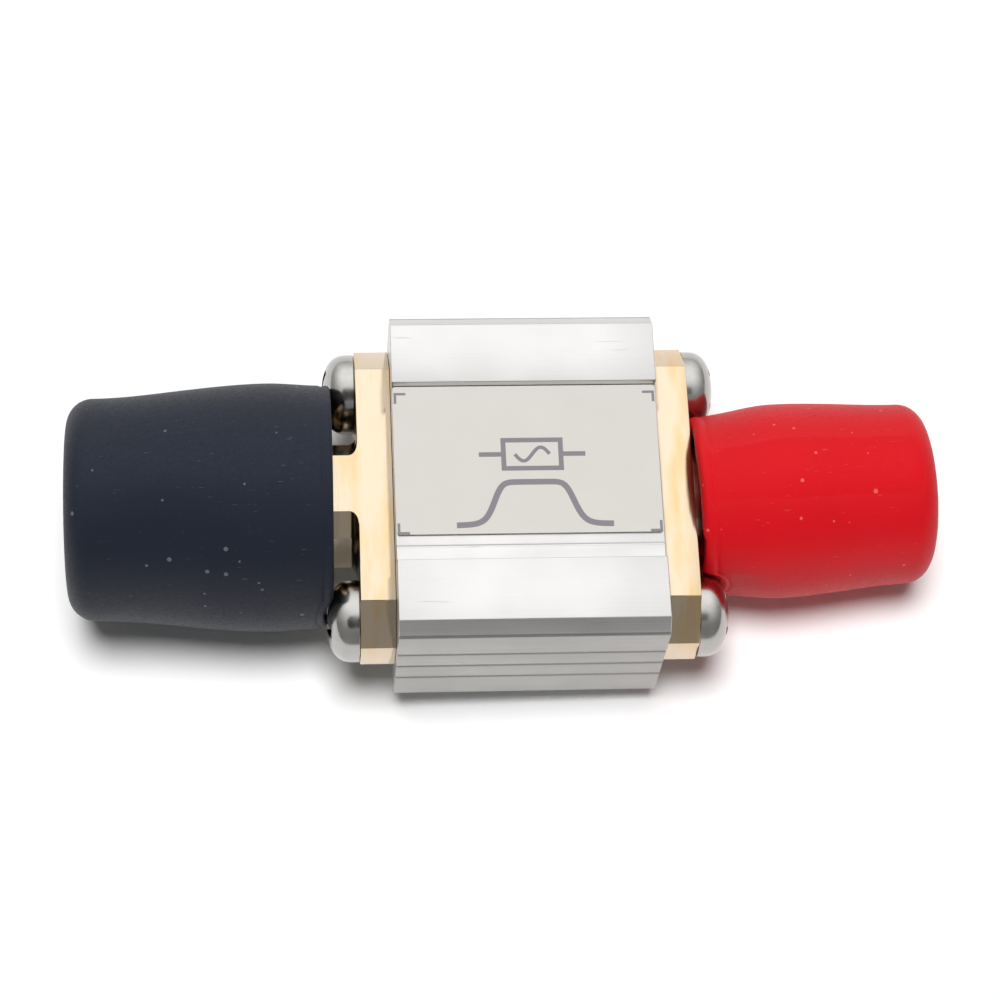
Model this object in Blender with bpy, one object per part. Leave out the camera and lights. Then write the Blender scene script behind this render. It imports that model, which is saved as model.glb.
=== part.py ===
"""In-line coaxial bandpass filter: an extruded housing with a plug at one end and a socket at the other.

Metres, +Z up. The signal axis runs along X, with the socket at +X, and the label faces +Z.
The origin lies on the signal axis, half way along the capped length.
"""
import math

import bmesh
import bpy

# Housing, cut from an extruded bar
HOUSING_LENGTH = 0.0130
HOUSING_WIDTH = 0.0170
HOUSING_HEIGHT = 0.00872
HOUSING_CORNER_CHAMFER = 0.0007
CHANNEL_WIDTH = 0.00934
CHANNEL_DEPTH = 0.00055
DIE_LINE_MARGIN = 0.00087
DIE_LINE_WIDTH = 0.00014
DIE_LINE_DEPTH = 0.00004
SIDE_GROOVE_PITCH = 0.0015
SIDE_GROOVE_WIDTH = 0.00026
SIDE_GROOVE_DEPTH = 0.00012
PORT_WALL = 0.00037
CAVITY_HEIGHT = 0.0046
BOARD_SLOT_DEPTH = 0.0003

# Label, stuck in the upper channel
LABEL_FAR_MARGIN = 0.00017
LABEL_NEAR_MARGIN = 0.00157
LABEL_END_MARGIN = 0.00005
LABEL_THICKNESS = 0.0001

# Two-hole flanges, the same at both ends
SCREW_SPACING = 0.0122
FLANGE_END_MARGIN = 0.00185
FLANGE_HEIGHT = 0.0057
FLANGE_THICKNESS = 0.0017
FLANGE_CHAMFER = 0.0018
SCREW_HOLE_CLEARANCE = 0.0001

# M2 pan head screws
SCREW_DIAMETER = 0.0020
SCREW_LENGTH = 0.0050
SCREW_HEAD_DIAMETER = 0.0040
SCREW_HEAD_HEIGHT = 0.00147
SCREW_HEAD_SIDE = 0.0003
PAN_CURVE = 0.8
SCREW_TIP_CHAMFER = 0.0002
RECESS_SPAN = 0.0019
RECESS_SLOT = 0.00045
RECESS_DEPTH = 0.0009
RECESS_TAPER = 0.45
RECESS_TURNS = {"plug_far": 18.0, "plug_near": -24.0, "socket_far": 37.0, "socket_near": 8.0}
PORT_CLEARANCE = 0.00003

# Coaxial line, the same at both ends
THREAD_DIAMETER = 0.00635
THREAD_DEPTH = 0.0004
SOCKET_WALL = 0.000875
FERRULE_WALL = 0.00025
DIELECTRIC_BACK_WALL = 0.0008
CONTACT_DIAMETER = 0.00127
PIN_DIAMETER = 0.00091
TAIL_DIAMETER = 0.00076
TAIL_LENGTH = 0.0014

# Plug body, whose neck keeps the nut clear of the screw heads
NECK_WIDTH = 0.0050
NECK_FLAT = 0.00296
NECK_FILLET = 0.00045
HEAD_CLEARANCE = 0.00023
PLUG_BARREL_CLEARANCE = 0.000275
PLUG_BARREL_LENGTH = 0.0029
FERRULE_RECESS = 0.0025
PIN_PROTRUSION = 0.0022
PIN_TIP_LENGTH = 0.0005
PIN_TIP_DIAMETER = 0.0004

# Coupling nut and what it holds
NUT_FLATS = 0.0080
NUT_LENGTH = 0.0070
NUT_CHAMFER = 0.0004
NUT_COLLAR = 0.0008
NUT_ENTRY_CHAMFER = 0.0003
NUT_END_PLAY = 0.00015
RING_THICKNESS = 0.0005
RING_WIDTH = 0.0006
RING_GROOVE_DEPTH = 0.00025
RING_OPENING = 0.0012
GASKET_THICKNESS = 0.0006
GASKET_CLEARANCE = 0.000055

# Socket body
SOCKET_BARREL_LENGTH = 0.0092
SOCKET_RELIEF_LENGTH = 0.0008
SOCKET_RELIEF_DEPTH = 0.00045
SOCKET_RIM_CHAMFER = 0.0003
SOCKET_FACE_DEPTH = 0.0019
SOCKET_HOLE_DEPTH = 0.0030
SOCKET_SLIT_LENGTH = 0.0025
SOCKET_SLIT_WIDTH = 0.00016

# Black cap, stretched over the nut and pressed against the screw heads
BLACK_CAP_LENGTH = 0.0130
BLACK_CAP_MOUTH_GAP = 0.00127
BLACK_CAP_MOUTH_WALL = 0.00128
BLACK_CAP_BELLY_WALL = 0.00142
BLACK_CAP_TIP_WALL = 0.00114
BLACK_CAP_END_WALL = 0.0011
BLACK_CAP_BELLY = 0.0100
BLACK_CAP_TAPER = 0.00038
BLACK_CAP_CORNER = 0.0013
BLACK_CAP_FIT = 0.00008

# Red cap, tilted on the socket's barrel until its lip almost meets the flange
RED_CAP_LENGTH = 0.0118
RED_CAP_MOUTH_WALL = 0.00095
RED_CAP_BELLY_WALL = 0.00134
RED_CAP_TIP_WALL = 0.0011
RED_CAP_END_WALL = 0.00078
RED_CAP_BELLY = 0.0076
RED_CAP_TAPER = 0.0001
RED_CAP_CORNER = 0.0012
RED_CAP_FIT = 0.000084
RED_CAP_TILT = math.radians(2.9)

# Both caps
DENT_CLEARANCE = 0.00008
CAP_DOME = 0.00012
CAP_LIP_RADIUS = 0.00022
CAP_INNER_CORNER = 0.0005

# Circuit board and its parts
BOARD_THICKNESS = 0.0008
BOARD_FIT = 0.00005
FILTER_CHIP_SIZE = (0.0032, 0.0016, 0.0009)
CAPACITOR_SIZE = (0.0016, 0.0008, 0.0005)
INDUCTOR_SIZE = (0.0016, 0.0008, 0.0008)
TERMINATION_SHARE = 0.2
TERMINATION_STEP = 0.00002
SHUNT_OFFSET = 0.0017
SOLDER_TOE = 0.0003
SOLDER_SIDE = 0.00032
SOLDER_HEIGHT = 0.0007
SOLDER_END_SHARE = 0.45

# Fits
FACE_GAP = 0.00002
RUNNING_GAP = 0.00006
CUT_MARGIN = 0.0003

FINE_STEPS = 48
ROUND_STEPS = 32
SMALL_STEPS = 24
CURVE_STEPS = 7
CAP_CORNER_STEPS = 5
SOLDER_STEPS = 4
CORNER_STEPS = 3
MERGE_DISTANCE = 1e-7
SHARP_ANGLE = math.radians(32)

FLANGE_WIDTH = SCREW_SPACING + 2 * FLANGE_END_MARGIN
NECK_LENGTH = SCREW_HEAD_HEIGHT + HEAD_CLEARANCE
PORT_RADIUS = SCREW_DIAMETER / 2 + PORT_CLEARANCE
CAVITY_WIDTH = SCREW_SPACING - 2 * (PORT_RADIUS + PORT_WALL + BOARD_SLOT_DEPTH)
SOLDER_LENGTH = TAIL_LENGTH + SOLDER_TOE

# Radii about the signal axis
NUT_BORE_RADIUS = THREAD_DIAMETER / 2 - THREAD_DEPTH
NUT_CORNER_RADIUS = NUT_FLATS / math.sqrt(3)
PLUG_BARREL_RADIUS = NUT_BORE_RADIUS - PLUG_BARREL_CLEARANCE
FERRULE_RADIUS = THREAD_DIAMETER / 2 - SOCKET_WALL
DIELECTRIC_RADIUS = FERRULE_RADIUS - FERRULE_WALL
GROOVE_FLOOR_RADIUS = PLUG_BARREL_RADIUS - RING_GROOVE_DEPTH
RING_OUTER_RADIUS = GROOVE_FLOOR_RADIUS + RUNNING_GAP + RING_WIDTH
BLACK_CAP_BORE = NUT_CORNER_RADIUS + BLACK_CAP_FIT
RED_CAP_BORE = THREAD_DIAMETER / 2 + RED_CAP_FIT + math.tan(RED_CAP_TILT) * SOCKET_BARREL_LENGTH / 2

# Places along one end, measured outwards from the housing's end face
FLANGE_FACE = FACE_GAP + FLANGE_THICKNESS
HEAD_SEAT = FLANGE_FACE + FACE_GAP
NECK_END = FLANGE_FACE + NECK_LENGTH
NUT_REAR = NECK_END + NUT_END_PLAY
NUT_FRONT = NUT_REAR + NUT_LENGTH
RING_CENTRE = NUT_REAR + NUT_COLLAR + RING_THICKNESS / 2 + NUT_END_PLAY / 2
SHOULDER = NECK_END + PLUG_BARREL_LENGTH
FERRULE_FRONT = NUT_FRONT - FERRULE_RECESS
SOCKET_FRONT = FLANGE_FACE + SOCKET_BARREL_LENGTH
SOCKET_FACE = SOCKET_FRONT - SOCKET_FACE_DEPTH
BLACK_CAP_MOUTH = FLANGE_FACE + BLACK_CAP_MOUTH_GAP
RED_CAP_PIVOT = FLANGE_FACE + SOCKET_BARREL_LENGTH / 2
RED_CAP_MOUTH = HEAD_SEAT + math.sin(RED_CAP_TILT) * (RED_CAP_BORE + RED_CAP_MOUTH_WALL)

# Height of the circuit board, just under the contacts' tails
BOARD_TOP = -TAIL_DIAMETER / 2 - FACE_GAP


def linear_colour(code):
    """Turns an sRGB hex code into linear RGBA."""
    channels = [int(code[i:i + 2], 16) / 255 for i in (0, 2, 4)]
    linear = [c / 12.92 if c <= 0.04045 else ((c + 0.055) / 1.055) ** 2.4 for c in channels]
    return (*linear, 1.0)


def make_material(name, code, metallic, roughness):
    material = bpy.data.materials.new(name)
    material.use_nodes = True
    shader = material.node_tree.nodes["Principled BSDF"]
    shader.inputs["Base Color"].default_value = linear_colour(code)
    shader.inputs["Metallic"].default_value = metallic
    shader.inputs["Roughness"].default_value = roughness
    return material


def add_empty(name, location=(0, 0, 0), turn=0.0, parent=None):
    """Adds a frame that pieces are placed in, turned about Z."""
    empty = bpy.data.objects.new(name, None)
    empty.empty_display_size = HOUSING_HEIGHT
    empty.location = location
    empty.rotation_euler = (0, 0, turn)
    empty.parent = parent
    bpy.context.collection.objects.link(empty)
    return empty


def add_piece(name, bm, material, parent, location=(0, 0, 0), rotation=(0, 0, 0)):
    """Turns a closed bmesh into a named object in its parent's frame."""
    bmesh.ops.recalc_face_normals(bm, faces=bm.faces)
    mesh = bpy.data.meshes.new(name)
    bm.to_mesh(mesh)
    bm.free()
    mesh.shade_smooth()
    mesh.set_sharp_from_angle(angle=SHARP_ANGLE)
    mesh.materials.append(material)
    piece = bpy.data.objects.new(name, mesh)
    piece.parent = parent
    piece.location = location
    piece.rotation_euler = rotation
    bpy.context.collection.objects.link(piece)
    return piece


def combine(piece, form, operation):
    """Adds, removes or keeps the hidden form's volume."""
    form.hide_render = True
    form.display_type = "WIRE"
    modifier = piece.modifiers.new(form.name, "BOOLEAN")
    modifier.operation = operation
    modifier.object = form


def circle(radius, steps, centre=(0, 0)):
    """Points of a circle in (Y, Z), starting at the top."""
    angles = [math.tau * i / steps for i in range(steps)]
    return [(centre[0] + radius * math.sin(a), centre[1] + radius * math.cos(a)) for a in angles]


def arc(centre, radius, start, end, steps):
    """Points of an arc, with its angles in degrees from the first axis towards the second."""
    angles = [math.radians(start + (end - start) * i / steps) for i in range(steps + 1)]
    return [(centre[0] + radius * math.cos(a), centre[1] + radius * math.sin(a)) for a in angles]


def rectangle(width, height, centre=(0, 0)):
    corners = [(1, 1), (1, -1), (-1, -1), (-1, 1)]
    return [(centre[0] + y * width / 2, centre[1] + z * height / 2) for y, z in corners]


def mirrored(quarter):
    """Completes an outline from its +Y +Z quarter, which runs from the top to the side."""
    side = quarter + [(y, -z) for y, z in reversed(quarter) if z > 0]
    return side + [(-y, z) for y, z in reversed(side) if y > 0]


def extruded(loops, start, length):
    """Fills (Y, Z) loops, an outline and its holes, and extrudes them along X."""
    bm = bmesh.new()
    edges = []
    for loop in loops:
        verts = [bm.verts.new((start, y, z)) for y, z in loop]
        edges += [bm.edges.new((verts[i - 1], verts[i])) for i in range(len(verts))]
    fill = bmesh.ops.triangle_fill(bm, use_beauty=True, edges=edges, normal=(1, 0, 0))
    faces = [item for item in fill["geom"] if isinstance(item, bmesh.types.BMFace)]
    region = bmesh.ops.extrude_face_region(bm, geom=faces)
    moved = [item for item in region["geom"] if isinstance(item, bmesh.types.BMVert)]
    bmesh.ops.translate(bm, verts=moved, vec=(length, 0, 0))
    return bm


def lofted(sections):
    """Joins sections of equally many (Y, Z) points, each at its own X, and closes both ends."""
    bm = bmesh.new()
    rings = [[bm.verts.new((x, y, z)) for y, z in points] for x, points in sections]
    for ring, following in zip(rings, rings[1:]):
        for i in range(len(ring)):
            bm.faces.new((ring[i - 1], ring[i], following[i], following[i - 1]))
    bm.faces.new(rings[0])
    bm.faces.new(rings[-1])
    return bm


def turned(outline, steps, closed=False):
    """Spins (X, radius) points about X. A solid's outline starts and ends on the axis, a ring's is closed."""
    bm = bmesh.new()
    verts = [bm.verts.new((x, 0, radius)) for x, radius in outline]
    edges = [bm.edges.new(pair) for pair in zip(verts, verts[1:])]
    if closed:
        edges.append(bm.edges.new((verts[-1], verts[0])))
    bmesh.ops.spin(bm, geom=verts + edges, cent=(0, 0, 0), axis=(1, 0, 0), angle=math.tau, steps=steps)
    bmesh.ops.remove_doubles(bm, verts=bm.verts, dist=MERGE_DISTANCE)
    return bm


def ease(share):
    """Rises smoothly from 0 to 1."""
    return share * share * (3 - 2 * share)


def housing_outline():
    """Outer section: two recessed channels, chamfered corners and three grooves along each side."""
    half_width = HOUSING_WIDTH / 2
    half_height = HOUSING_HEIGHT / 2
    floor = half_height - CHANNEL_DEPTH
    groove_floor = half_width - SIDE_GROOVE_DEPTH
    die_line = [(-DIE_LINE_WIDTH / 2, 0), (0, -DIE_LINE_DEPTH), (DIE_LINE_WIDTH / 2, 0)]
    quarter = [(CHANNEL_WIDTH / 2 - DIE_LINE_MARGIN + y, floor + z) for y, z in die_line]
    quarter += [(CHANNEL_WIDTH / 2, floor), (CHANNEL_WIDTH / 2, half_height)]
    quarter += [(half_width - HOUSING_CORNER_CHAMFER, half_height)]
    quarter += [(half_width, half_height - HOUSING_CORNER_CHAMFER)]
    quarter += [(half_width, SIDE_GROOVE_PITCH + SIDE_GROOVE_WIDTH / 2), (groove_floor, SIDE_GROOVE_PITCH)]
    quarter += [(half_width, SIDE_GROOVE_PITCH - SIDE_GROOVE_WIDTH / 2), (half_width, SIDE_GROOVE_WIDTH / 2)]
    quarter += [(groove_floor, 0)]
    return mirrored(quarter)


def cavity_outline():
    """Inner section, with a slot in each side wall for the circuit board's edges."""
    half_width = CAVITY_WIDTH / 2
    half_height = CAVITY_HEIGHT / 2
    slot_end = half_width + BOARD_SLOT_DEPTH
    slot_top = BOARD_TOP + BOARD_FIT
    slot_bottom = BOARD_TOP - BOARD_THICKNESS - BOARD_FIT
    side = [(half_width, half_height), (half_width, slot_top), (slot_end, slot_top)]
    side += [(slot_end, slot_bottom), (half_width, slot_bottom), (half_width, -half_height)]
    return side + [(-y, z) for y, z in reversed(side)]


def screw_centres():
    return [(SCREW_SPACING / 2, 0), (-SCREW_SPACING / 2, 0)]


def add_housing(parent, aluminium):
    loops = [housing_outline(), cavity_outline()]
    loops += [circle(PORT_RADIUS, SMALL_STEPS, centre) for centre in screw_centres()]
    add_piece("housing", extruded(loops, -HOUSING_LENGTH / 2, HOUSING_LENGTH), aluminium, parent)


def add_label(parent, foil):
    length = HOUSING_LENGTH - 2 * LABEL_END_MARGIN
    width = CHANNEL_WIDTH - LABEL_FAR_MARGIN - LABEL_NEAR_MARGIN
    offset = (LABEL_NEAR_MARGIN - LABEL_FAR_MARGIN) / 2
    seat = HOUSING_HEIGHT / 2 - CHANNEL_DEPTH + FACE_GAP + LABEL_THICKNESS / 2
    section = rectangle(width, LABEL_THICKNESS)
    sheet = lofted([(-length / 2, section), (length / 2, section)])
    add_piece("label", sheet, foil, parent, location=(0, offset, seat))


def flange():
    """Elongated octagon with two screw holes, from the housing's face outwards."""
    half_width = FLANGE_WIDTH / 2
    half_height = FLANGE_HEIGHT / 2
    quarter = [(half_width - FLANGE_CHAMFER, half_height), (half_width, half_height - FLANGE_CHAMFER)]
    hole_radius = SCREW_DIAMETER / 2 + SCREW_HOLE_CLEARANCE
    loops = [mirrored(quarter)]
    loops += [circle(hole_radius, SMALL_STEPS, centre) for centre in screw_centres()]
    return extruded(loops, FACE_GAP, FLANGE_THICKNESS)


def neck_section(growth):
    """Section of the plug's neck: flats above and below at the flange's height, the other six faces grown."""
    half_height = FLANGE_HEIGHT / 2
    half_width = NECK_WIDTH / 2 + growth
    corner_sum = NECK_FLAT / 2 + half_height + growth * math.sqrt(2)
    return mirrored([(corner_sum - half_height, half_height), (half_width, corner_sum - half_width)])


def neck():
    """Eight-sided neck that flares into the flange through a milled fillet."""
    sections = [(FLANGE_FACE - CUT_MARGIN, neck_section(NECK_FILLET))]
    for along, growth in arc((NECK_FILLET, NECK_FILLET), NECK_FILLET, 180, 270, CORNER_STEPS):
        sections.append((FLANGE_FACE + along, neck_section(growth)))
    sections.append((NECK_END, neck_section(0)))
    return lofted(sections)


def plug_barrel():
    """Barrel with the retaining ring's groove, then the thin ferrule that meets the mating socket."""
    barrel = PLUG_BARREL_RADIUS
    floor = GROOVE_FLOOR_RADIUS
    groove_start = RING_CENTRE - RING_THICKNESS / 2 - RUNNING_GAP
    groove_end = RING_CENTRE + RING_THICKNESS / 2 + RUNNING_GAP
    outline = [(NECK_END - CUT_MARGIN, 0), (NECK_END - CUT_MARGIN, barrel), (groove_start, barrel)]
    outline += [(groove_start, floor), (groove_end, floor), (groove_end, barrel), (SHOULDER, barrel)]
    outline += [(SHOULDER, FERRULE_RADIUS), (FERRULE_FRONT, FERRULE_RADIUS), (FERRULE_FRONT, 0)]
    return turned(outline, ROUND_STEPS)


def add_plug_body(end, gold):
    body = add_piece("plug_body", flange(), gold, end)
    combine(body, add_piece("plug_neck_form", neck(), gold, end), "UNION")
    combine(body, add_piece("plug_barrel_form", plug_barrel(), gold, end), "UNION")
    bore = [(-CUT_MARGIN, 0), (-CUT_MARGIN, DIELECTRIC_RADIUS)]
    bore += [(FERRULE_FRONT + CUT_MARGIN, DIELECTRIC_RADIUS), (FERRULE_FRONT + CUT_MARGIN, 0)]
    combine(body, add_piece("plug_bore_form", turned(bore, ROUND_STEPS), gold, end), "DIFFERENCE")


def socket_barrel():
    """Threaded barrel's major diameter, with a relief at its root and a chamfered rim."""
    thread = THREAD_DIAMETER / 2
    relief = thread - SOCKET_RELIEF_DEPTH
    relief_end = FLANGE_FACE + SOCKET_RELIEF_LENGTH
    outline = [(FLANGE_FACE - CUT_MARGIN, 0), (FLANGE_FACE - CUT_MARGIN, relief), (relief_end, relief)]
    outline += [(relief_end + SOCKET_RELIEF_DEPTH, thread), (SOCKET_FRONT - SOCKET_RIM_CHAMFER, thread)]
    outline += [(SOCKET_FRONT, thread - SOCKET_RIM_CHAMFER), (SOCKET_FRONT, 0)]
    return turned(outline, FINE_STEPS)


def add_socket_body(end, gold):
    body = add_piece("socket_body", flange(), gold, end)
    combine(body, add_piece("socket_barrel_form", socket_barrel(), gold, end), "UNION")
    front = SOCKET_FRONT + CUT_MARGIN
    bore = [(-CUT_MARGIN, 0), (-CUT_MARGIN, DIELECTRIC_RADIUS), (SOCKET_FACE, DIELECTRIC_RADIUS)]
    bore += [(SOCKET_FACE, FERRULE_RADIUS), (front, FERRULE_RADIUS), (front, 0)]
    combine(body, add_piece("socket_bore_form", turned(bore, ROUND_STEPS), gold, end), "DIFFERENCE")


def dielectric(face):
    """Dielectric tube, narrower at the back, where it traps the contact's step."""
    outer = DIELECTRIC_RADIUS - FACE_GAP
    contact = CONTACT_DIAMETER / 2 + FACE_GAP
    tail = TAIL_DIAMETER / 2 + FACE_GAP
    outline = [(FACE_GAP, tail), (FACE_GAP, outer), (face, outer), (face, contact)]
    outline += [(DIELECTRIC_BACK_WALL, contact), (DIELECTRIC_BACK_WALL, tail)]
    return turned(outline, ROUND_STEPS, closed=True)


def contact_root():
    """The tail that reaches over the circuit board, and the step behind the dielectric's back wall."""
    tail = TAIL_DIAMETER / 2
    step = DIELECTRIC_BACK_WALL + FACE_GAP
    return [(-TAIL_LENGTH, 0), (-TAIL_LENGTH, tail), (step, tail), (step, CONTACT_DIAMETER / 2)]


def add_plug_contact(end, gold):
    pin = PIN_DIAMETER / 2
    tip = FERRULE_FRONT + PIN_PROTRUSION
    outline = contact_root() + [(FERRULE_FRONT, CONTACT_DIAMETER / 2), (FERRULE_FRONT, pin)]
    outline += [(tip - PIN_TIP_LENGTH, pin), (tip, PIN_TIP_DIAMETER / 2), (tip, 0)]
    add_piece("plug_pin", turned(outline, SMALL_STEPS), gold, end)


def add_socket_contact(end, gold):
    """Hollow contact whose mouth is slit crosswise into four spring fingers."""
    hole = PIN_DIAMETER / 2
    bottom = SOCKET_FACE - SOCKET_HOLE_DEPTH
    outline = contact_root() + [(SOCKET_FACE, CONTACT_DIAMETER / 2), (SOCKET_FACE, hole)]
    outline += [(bottom, hole), (bottom, 0)]
    contact = add_piece("socket_contact", turned(outline, SMALL_STEPS), gold, end)
    for name, width, height in (
        ("upright", SOCKET_SLIT_WIDTH, THREAD_DIAMETER),
        ("level", THREAD_DIAMETER, SOCKET_SLIT_WIDTH),
    ):
        slit = rectangle(width, height)
        ends = [(SOCKET_FACE - SOCKET_SLIT_LENGTH, slit), (SOCKET_FRONT, slit)]
        form = add_piece("socket_slit_form_" + name, lofted(ends), gold, end)
        combine(contact, form, "DIFFERENCE")


def add_coupling_nut(end, plating):
    """Hexagon nut with turned chamfers, a collar behind the retaining ring and a bore for the thread."""
    hexagon = circle(NUT_CORNER_RADIUS, 6)
    hexagon = [(-z, y) for y, z in hexagon]
    nut = add_piece("coupling_nut", lofted([(0, hexagon), (NUT_LENGTH, hexagon)]), plating, end)
    nut.location.x = NUT_REAR
    face = NUT_FLATS / 2
    reach = NUT_CORNER_RADIUS + CUT_MARGIN
    slope = (reach - face) * NUT_CHAMFER / (NUT_CORNER_RADIUS - face)
    blank = [(0, 0), (0, face), (slope, reach)]
    blank += [(NUT_LENGTH - slope, reach), (NUT_LENGTH, face), (NUT_LENGTH, 0)]
    half_step = math.pi / FINE_STEPS
    form = add_piece("nut_blank_form", turned(blank, FINE_STEPS), plating, nut, rotation=(half_step, 0, 0))
    combine(nut, form, "INTERSECT")
    collar = PLUG_BARREL_RADIUS + RUNNING_GAP
    groove = RING_OUTER_RADIUS + RUNNING_GAP
    groove_end = NUT_COLLAR + RING_THICKNESS + NUT_END_PLAY
    entry = NUT_BORE_RADIUS + NUT_ENTRY_CHAMFER + CUT_MARGIN
    bore = [(-CUT_MARGIN, 0), (-CUT_MARGIN, collar), (NUT_COLLAR, collar), (NUT_COLLAR, groove)]
    bore += [(groove_end, groove), (groove_end, NUT_BORE_RADIUS)]
    bore.append((NUT_LENGTH - NUT_ENTRY_CHAMFER, NUT_BORE_RADIUS))
    bore += [(NUT_LENGTH + CUT_MARGIN, entry), (NUT_LENGTH + CUT_MARGIN, 0)]
    combine(nut, add_piece("nut_bore_form", turned(bore, FINE_STEPS), plating, nut), "DIFFERENCE")


def add_retaining_ring(end, bronze):
    """Split spring ring, seated in the barrel's groove and reaching into the nut's."""
    inner = GROOVE_FLOOR_RADIUS + RUNNING_GAP
    half_gap = math.degrees(RING_OPENING / 2 / RING_OUTER_RADIUS)
    outer_arc = arc((0, 0), RING_OUTER_RADIUS, 90 + half_gap, 450 - half_gap, ROUND_STEPS)
    inner_arc = arc((0, 0), inner, 450 - half_gap, 90 + half_gap, ROUND_STEPS)
    start = RING_CENTRE - RING_THICKNESS / 2
    add_piece("retaining_ring", extruded([outer_arc + inner_arc], start, RING_THICKNESS), bronze, end)


def add_gasket(end, rubber):
    """Sealing ring round the ferrule, which the nut's bore just clears."""
    inner = FERRULE_RADIUS + FACE_GAP
    outer = NUT_BORE_RADIUS - GASKET_CLEARANCE
    back = SHOULDER + FACE_GAP
    front = back + GASKET_THICKNESS
    outline = [(back, inner), (back, outer), (front, outer), (front, inner)]
    add_piece("plug_gasket", turned(outline, ROUND_STEPS, closed=True), rubber, end)


def head_outline(growth=0.0):
    """Outside of a pan head from its rim to its crown, grown by a clearance."""
    radius = SCREW_HEAD_DIAMETER / 2 + growth
    crown = SCREW_HEAD_HEIGHT + growth
    points = []
    for i in range(CURVE_STEPS):
        angle = math.pi / 2 * i / CURVE_STEPS
        rise = (crown - SCREW_HEAD_SIDE) * math.sin(angle) ** PAN_CURVE
        points.append((SCREW_HEAD_SIDE + rise, radius * math.cos(angle) ** PAN_CURVE))
    return points + [(crown, 0)]


def screw():
    """Pan head screw whose head sits on X = 0 and whose shank points to -X."""
    shank = SCREW_DIAMETER / 2 - PORT_CLEARANCE
    outline = [(-SCREW_LENGTH, 0), (-SCREW_LENGTH, shank - SCREW_TIP_CHAMFER)]
    outline += [(SCREW_TIP_CHAMFER - SCREW_LENGTH, shank), (0, shank), (0, SCREW_HEAD_DIAMETER / 2)]
    return turned(outline + head_outline(), SMALL_STEPS)


def cross_section(scale):
    """A cross of two equal slots."""
    arm = RECESS_SPAN / 2 * scale
    slot = RECESS_SLOT / 2 * scale
    return mirrored([(slot, arm), (slot, slot), (arm, slot)])


def add_screw(name, end, side, steel):
    """One flange screw with a tapered cross recess, turned to where the driver left it."""
    turn = math.radians(RECESS_TURNS[name])
    place = (HEAD_SEAT, side * SCREW_SPACING / 2, 0)
    piece = add_piece("flange_screw_" + name, screw(), steel, end, place, (turn, 0, 0))
    sections = [(SCREW_HEAD_HEIGHT - RECESS_DEPTH, cross_section(RECESS_TAPER))]
    sections.append((SCREW_HEAD_HEIGHT + CUT_MARGIN, cross_section(1)))
    form = add_piece("recess_form_" + name, lofted(sections), steel, piece)
    combine(piece, form, "DIFFERENCE")


def cap_outline(length, bore, grip, walls, belly, taper, corner, end_wall):
    """Outline of a dipped vinyl cap from its mouth at X = 0: outside, round the end, then the inside.

    The bore is straight over grip, the length pushed over the connector, and then tapers. walls holds
    the wall at the mouth, the belly and the tip, and belly is measured from the closed end.
    """
    mouth_wall, belly_wall, tip_wall = walls
    mouth, middle, tip = bore + mouth_wall, bore + belly_wall, bore - taper + tip_wall
    points = arc((CAP_LIP_RADIUS, mouth - CAP_LIP_RADIUS), CAP_LIP_RADIUS, 180, 90, CORNER_STEPS)
    rise = length - belly
    for i in range(1, CURVE_STEPS + 1):
        share = i / CURVE_STEPS
        along = CAP_LIP_RADIUS + (rise - CAP_LIP_RADIUS) * share
        points.append((along, mouth + (middle - mouth) * ease(share)))
    for i in range(1, CURVE_STEPS):
        share = i / CURVE_STEPS
        along = rise + (belly - corner) * share
        points.append((along, middle + (tip - middle) * ease(share)))
    points += arc((length - corner - CAP_DOME, tip - corner), corner, 90, 0, CAP_CORNER_STEPS)
    points.append((length, 0))
    inner_tip = bore - taper
    inside = length - end_wall
    points.append((inside, 0))
    inner_corner = (inside - CAP_INNER_CORNER, inner_tip - CAP_INNER_CORNER)
    points += arc(inner_corner, CAP_INNER_CORNER, 0, 90, CORNER_STEPS)
    points += [(grip, bore), (CAP_LIP_RADIUS, bore)]
    points += arc((CAP_LIP_RADIUS, bore + CAP_LIP_RADIUS), CAP_LIP_RADIUS, 270, 180, CORNER_STEPS)
    return points


def black_cap_outline():
    walls = (BLACK_CAP_MOUTH_WALL, BLACK_CAP_BELLY_WALL, BLACK_CAP_TIP_WALL)
    grip = NUT_FRONT - BLACK_CAP_MOUTH
    shape = (BLACK_CAP_BELLY, BLACK_CAP_TAPER, BLACK_CAP_CORNER, BLACK_CAP_END_WALL)
    return cap_outline(BLACK_CAP_LENGTH, BLACK_CAP_BORE, grip, walls, *shape)


def red_cap_outline():
    walls = (RED_CAP_MOUTH_WALL, RED_CAP_BELLY_WALL, RED_CAP_TIP_WALL)
    grip = SOCKET_FRONT - RED_CAP_MOUTH
    shape = (RED_CAP_BELLY, RED_CAP_TAPER, RED_CAP_CORNER, RED_CAP_END_WALL)
    return cap_outline(RED_CAP_LENGTH, RED_CAP_BORE, grip, walls, *shape)


def press_dents(cap, end, vinyl):
    """The screw heads press their own shape into the cap's mouth."""
    start = (-CUT_MARGIN, SCREW_HEAD_DIAMETER / 2 + DENT_CLEARANCE)
    outline = [(-CUT_MARGIN, 0), start] + head_outline(DENT_CLEARANCE)
    for side in (-1, 1):
        place = (HEAD_SEAT, side * SCREW_SPACING / 2, 0)
        form = add_piece(cap.name + "_dent_form", turned(outline, SMALL_STEPS), vinyl, end, place)
        combine(cap, form, "DIFFERENCE")


def add_black_cap(end, vinyl):
    cap = turned(black_cap_outline(), FINE_STEPS, closed=True)
    press_dents(add_piece("black_cap", cap, vinyl, end, location=(BLACK_CAP_MOUTH, 0, 0)), end, vinyl)


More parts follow.
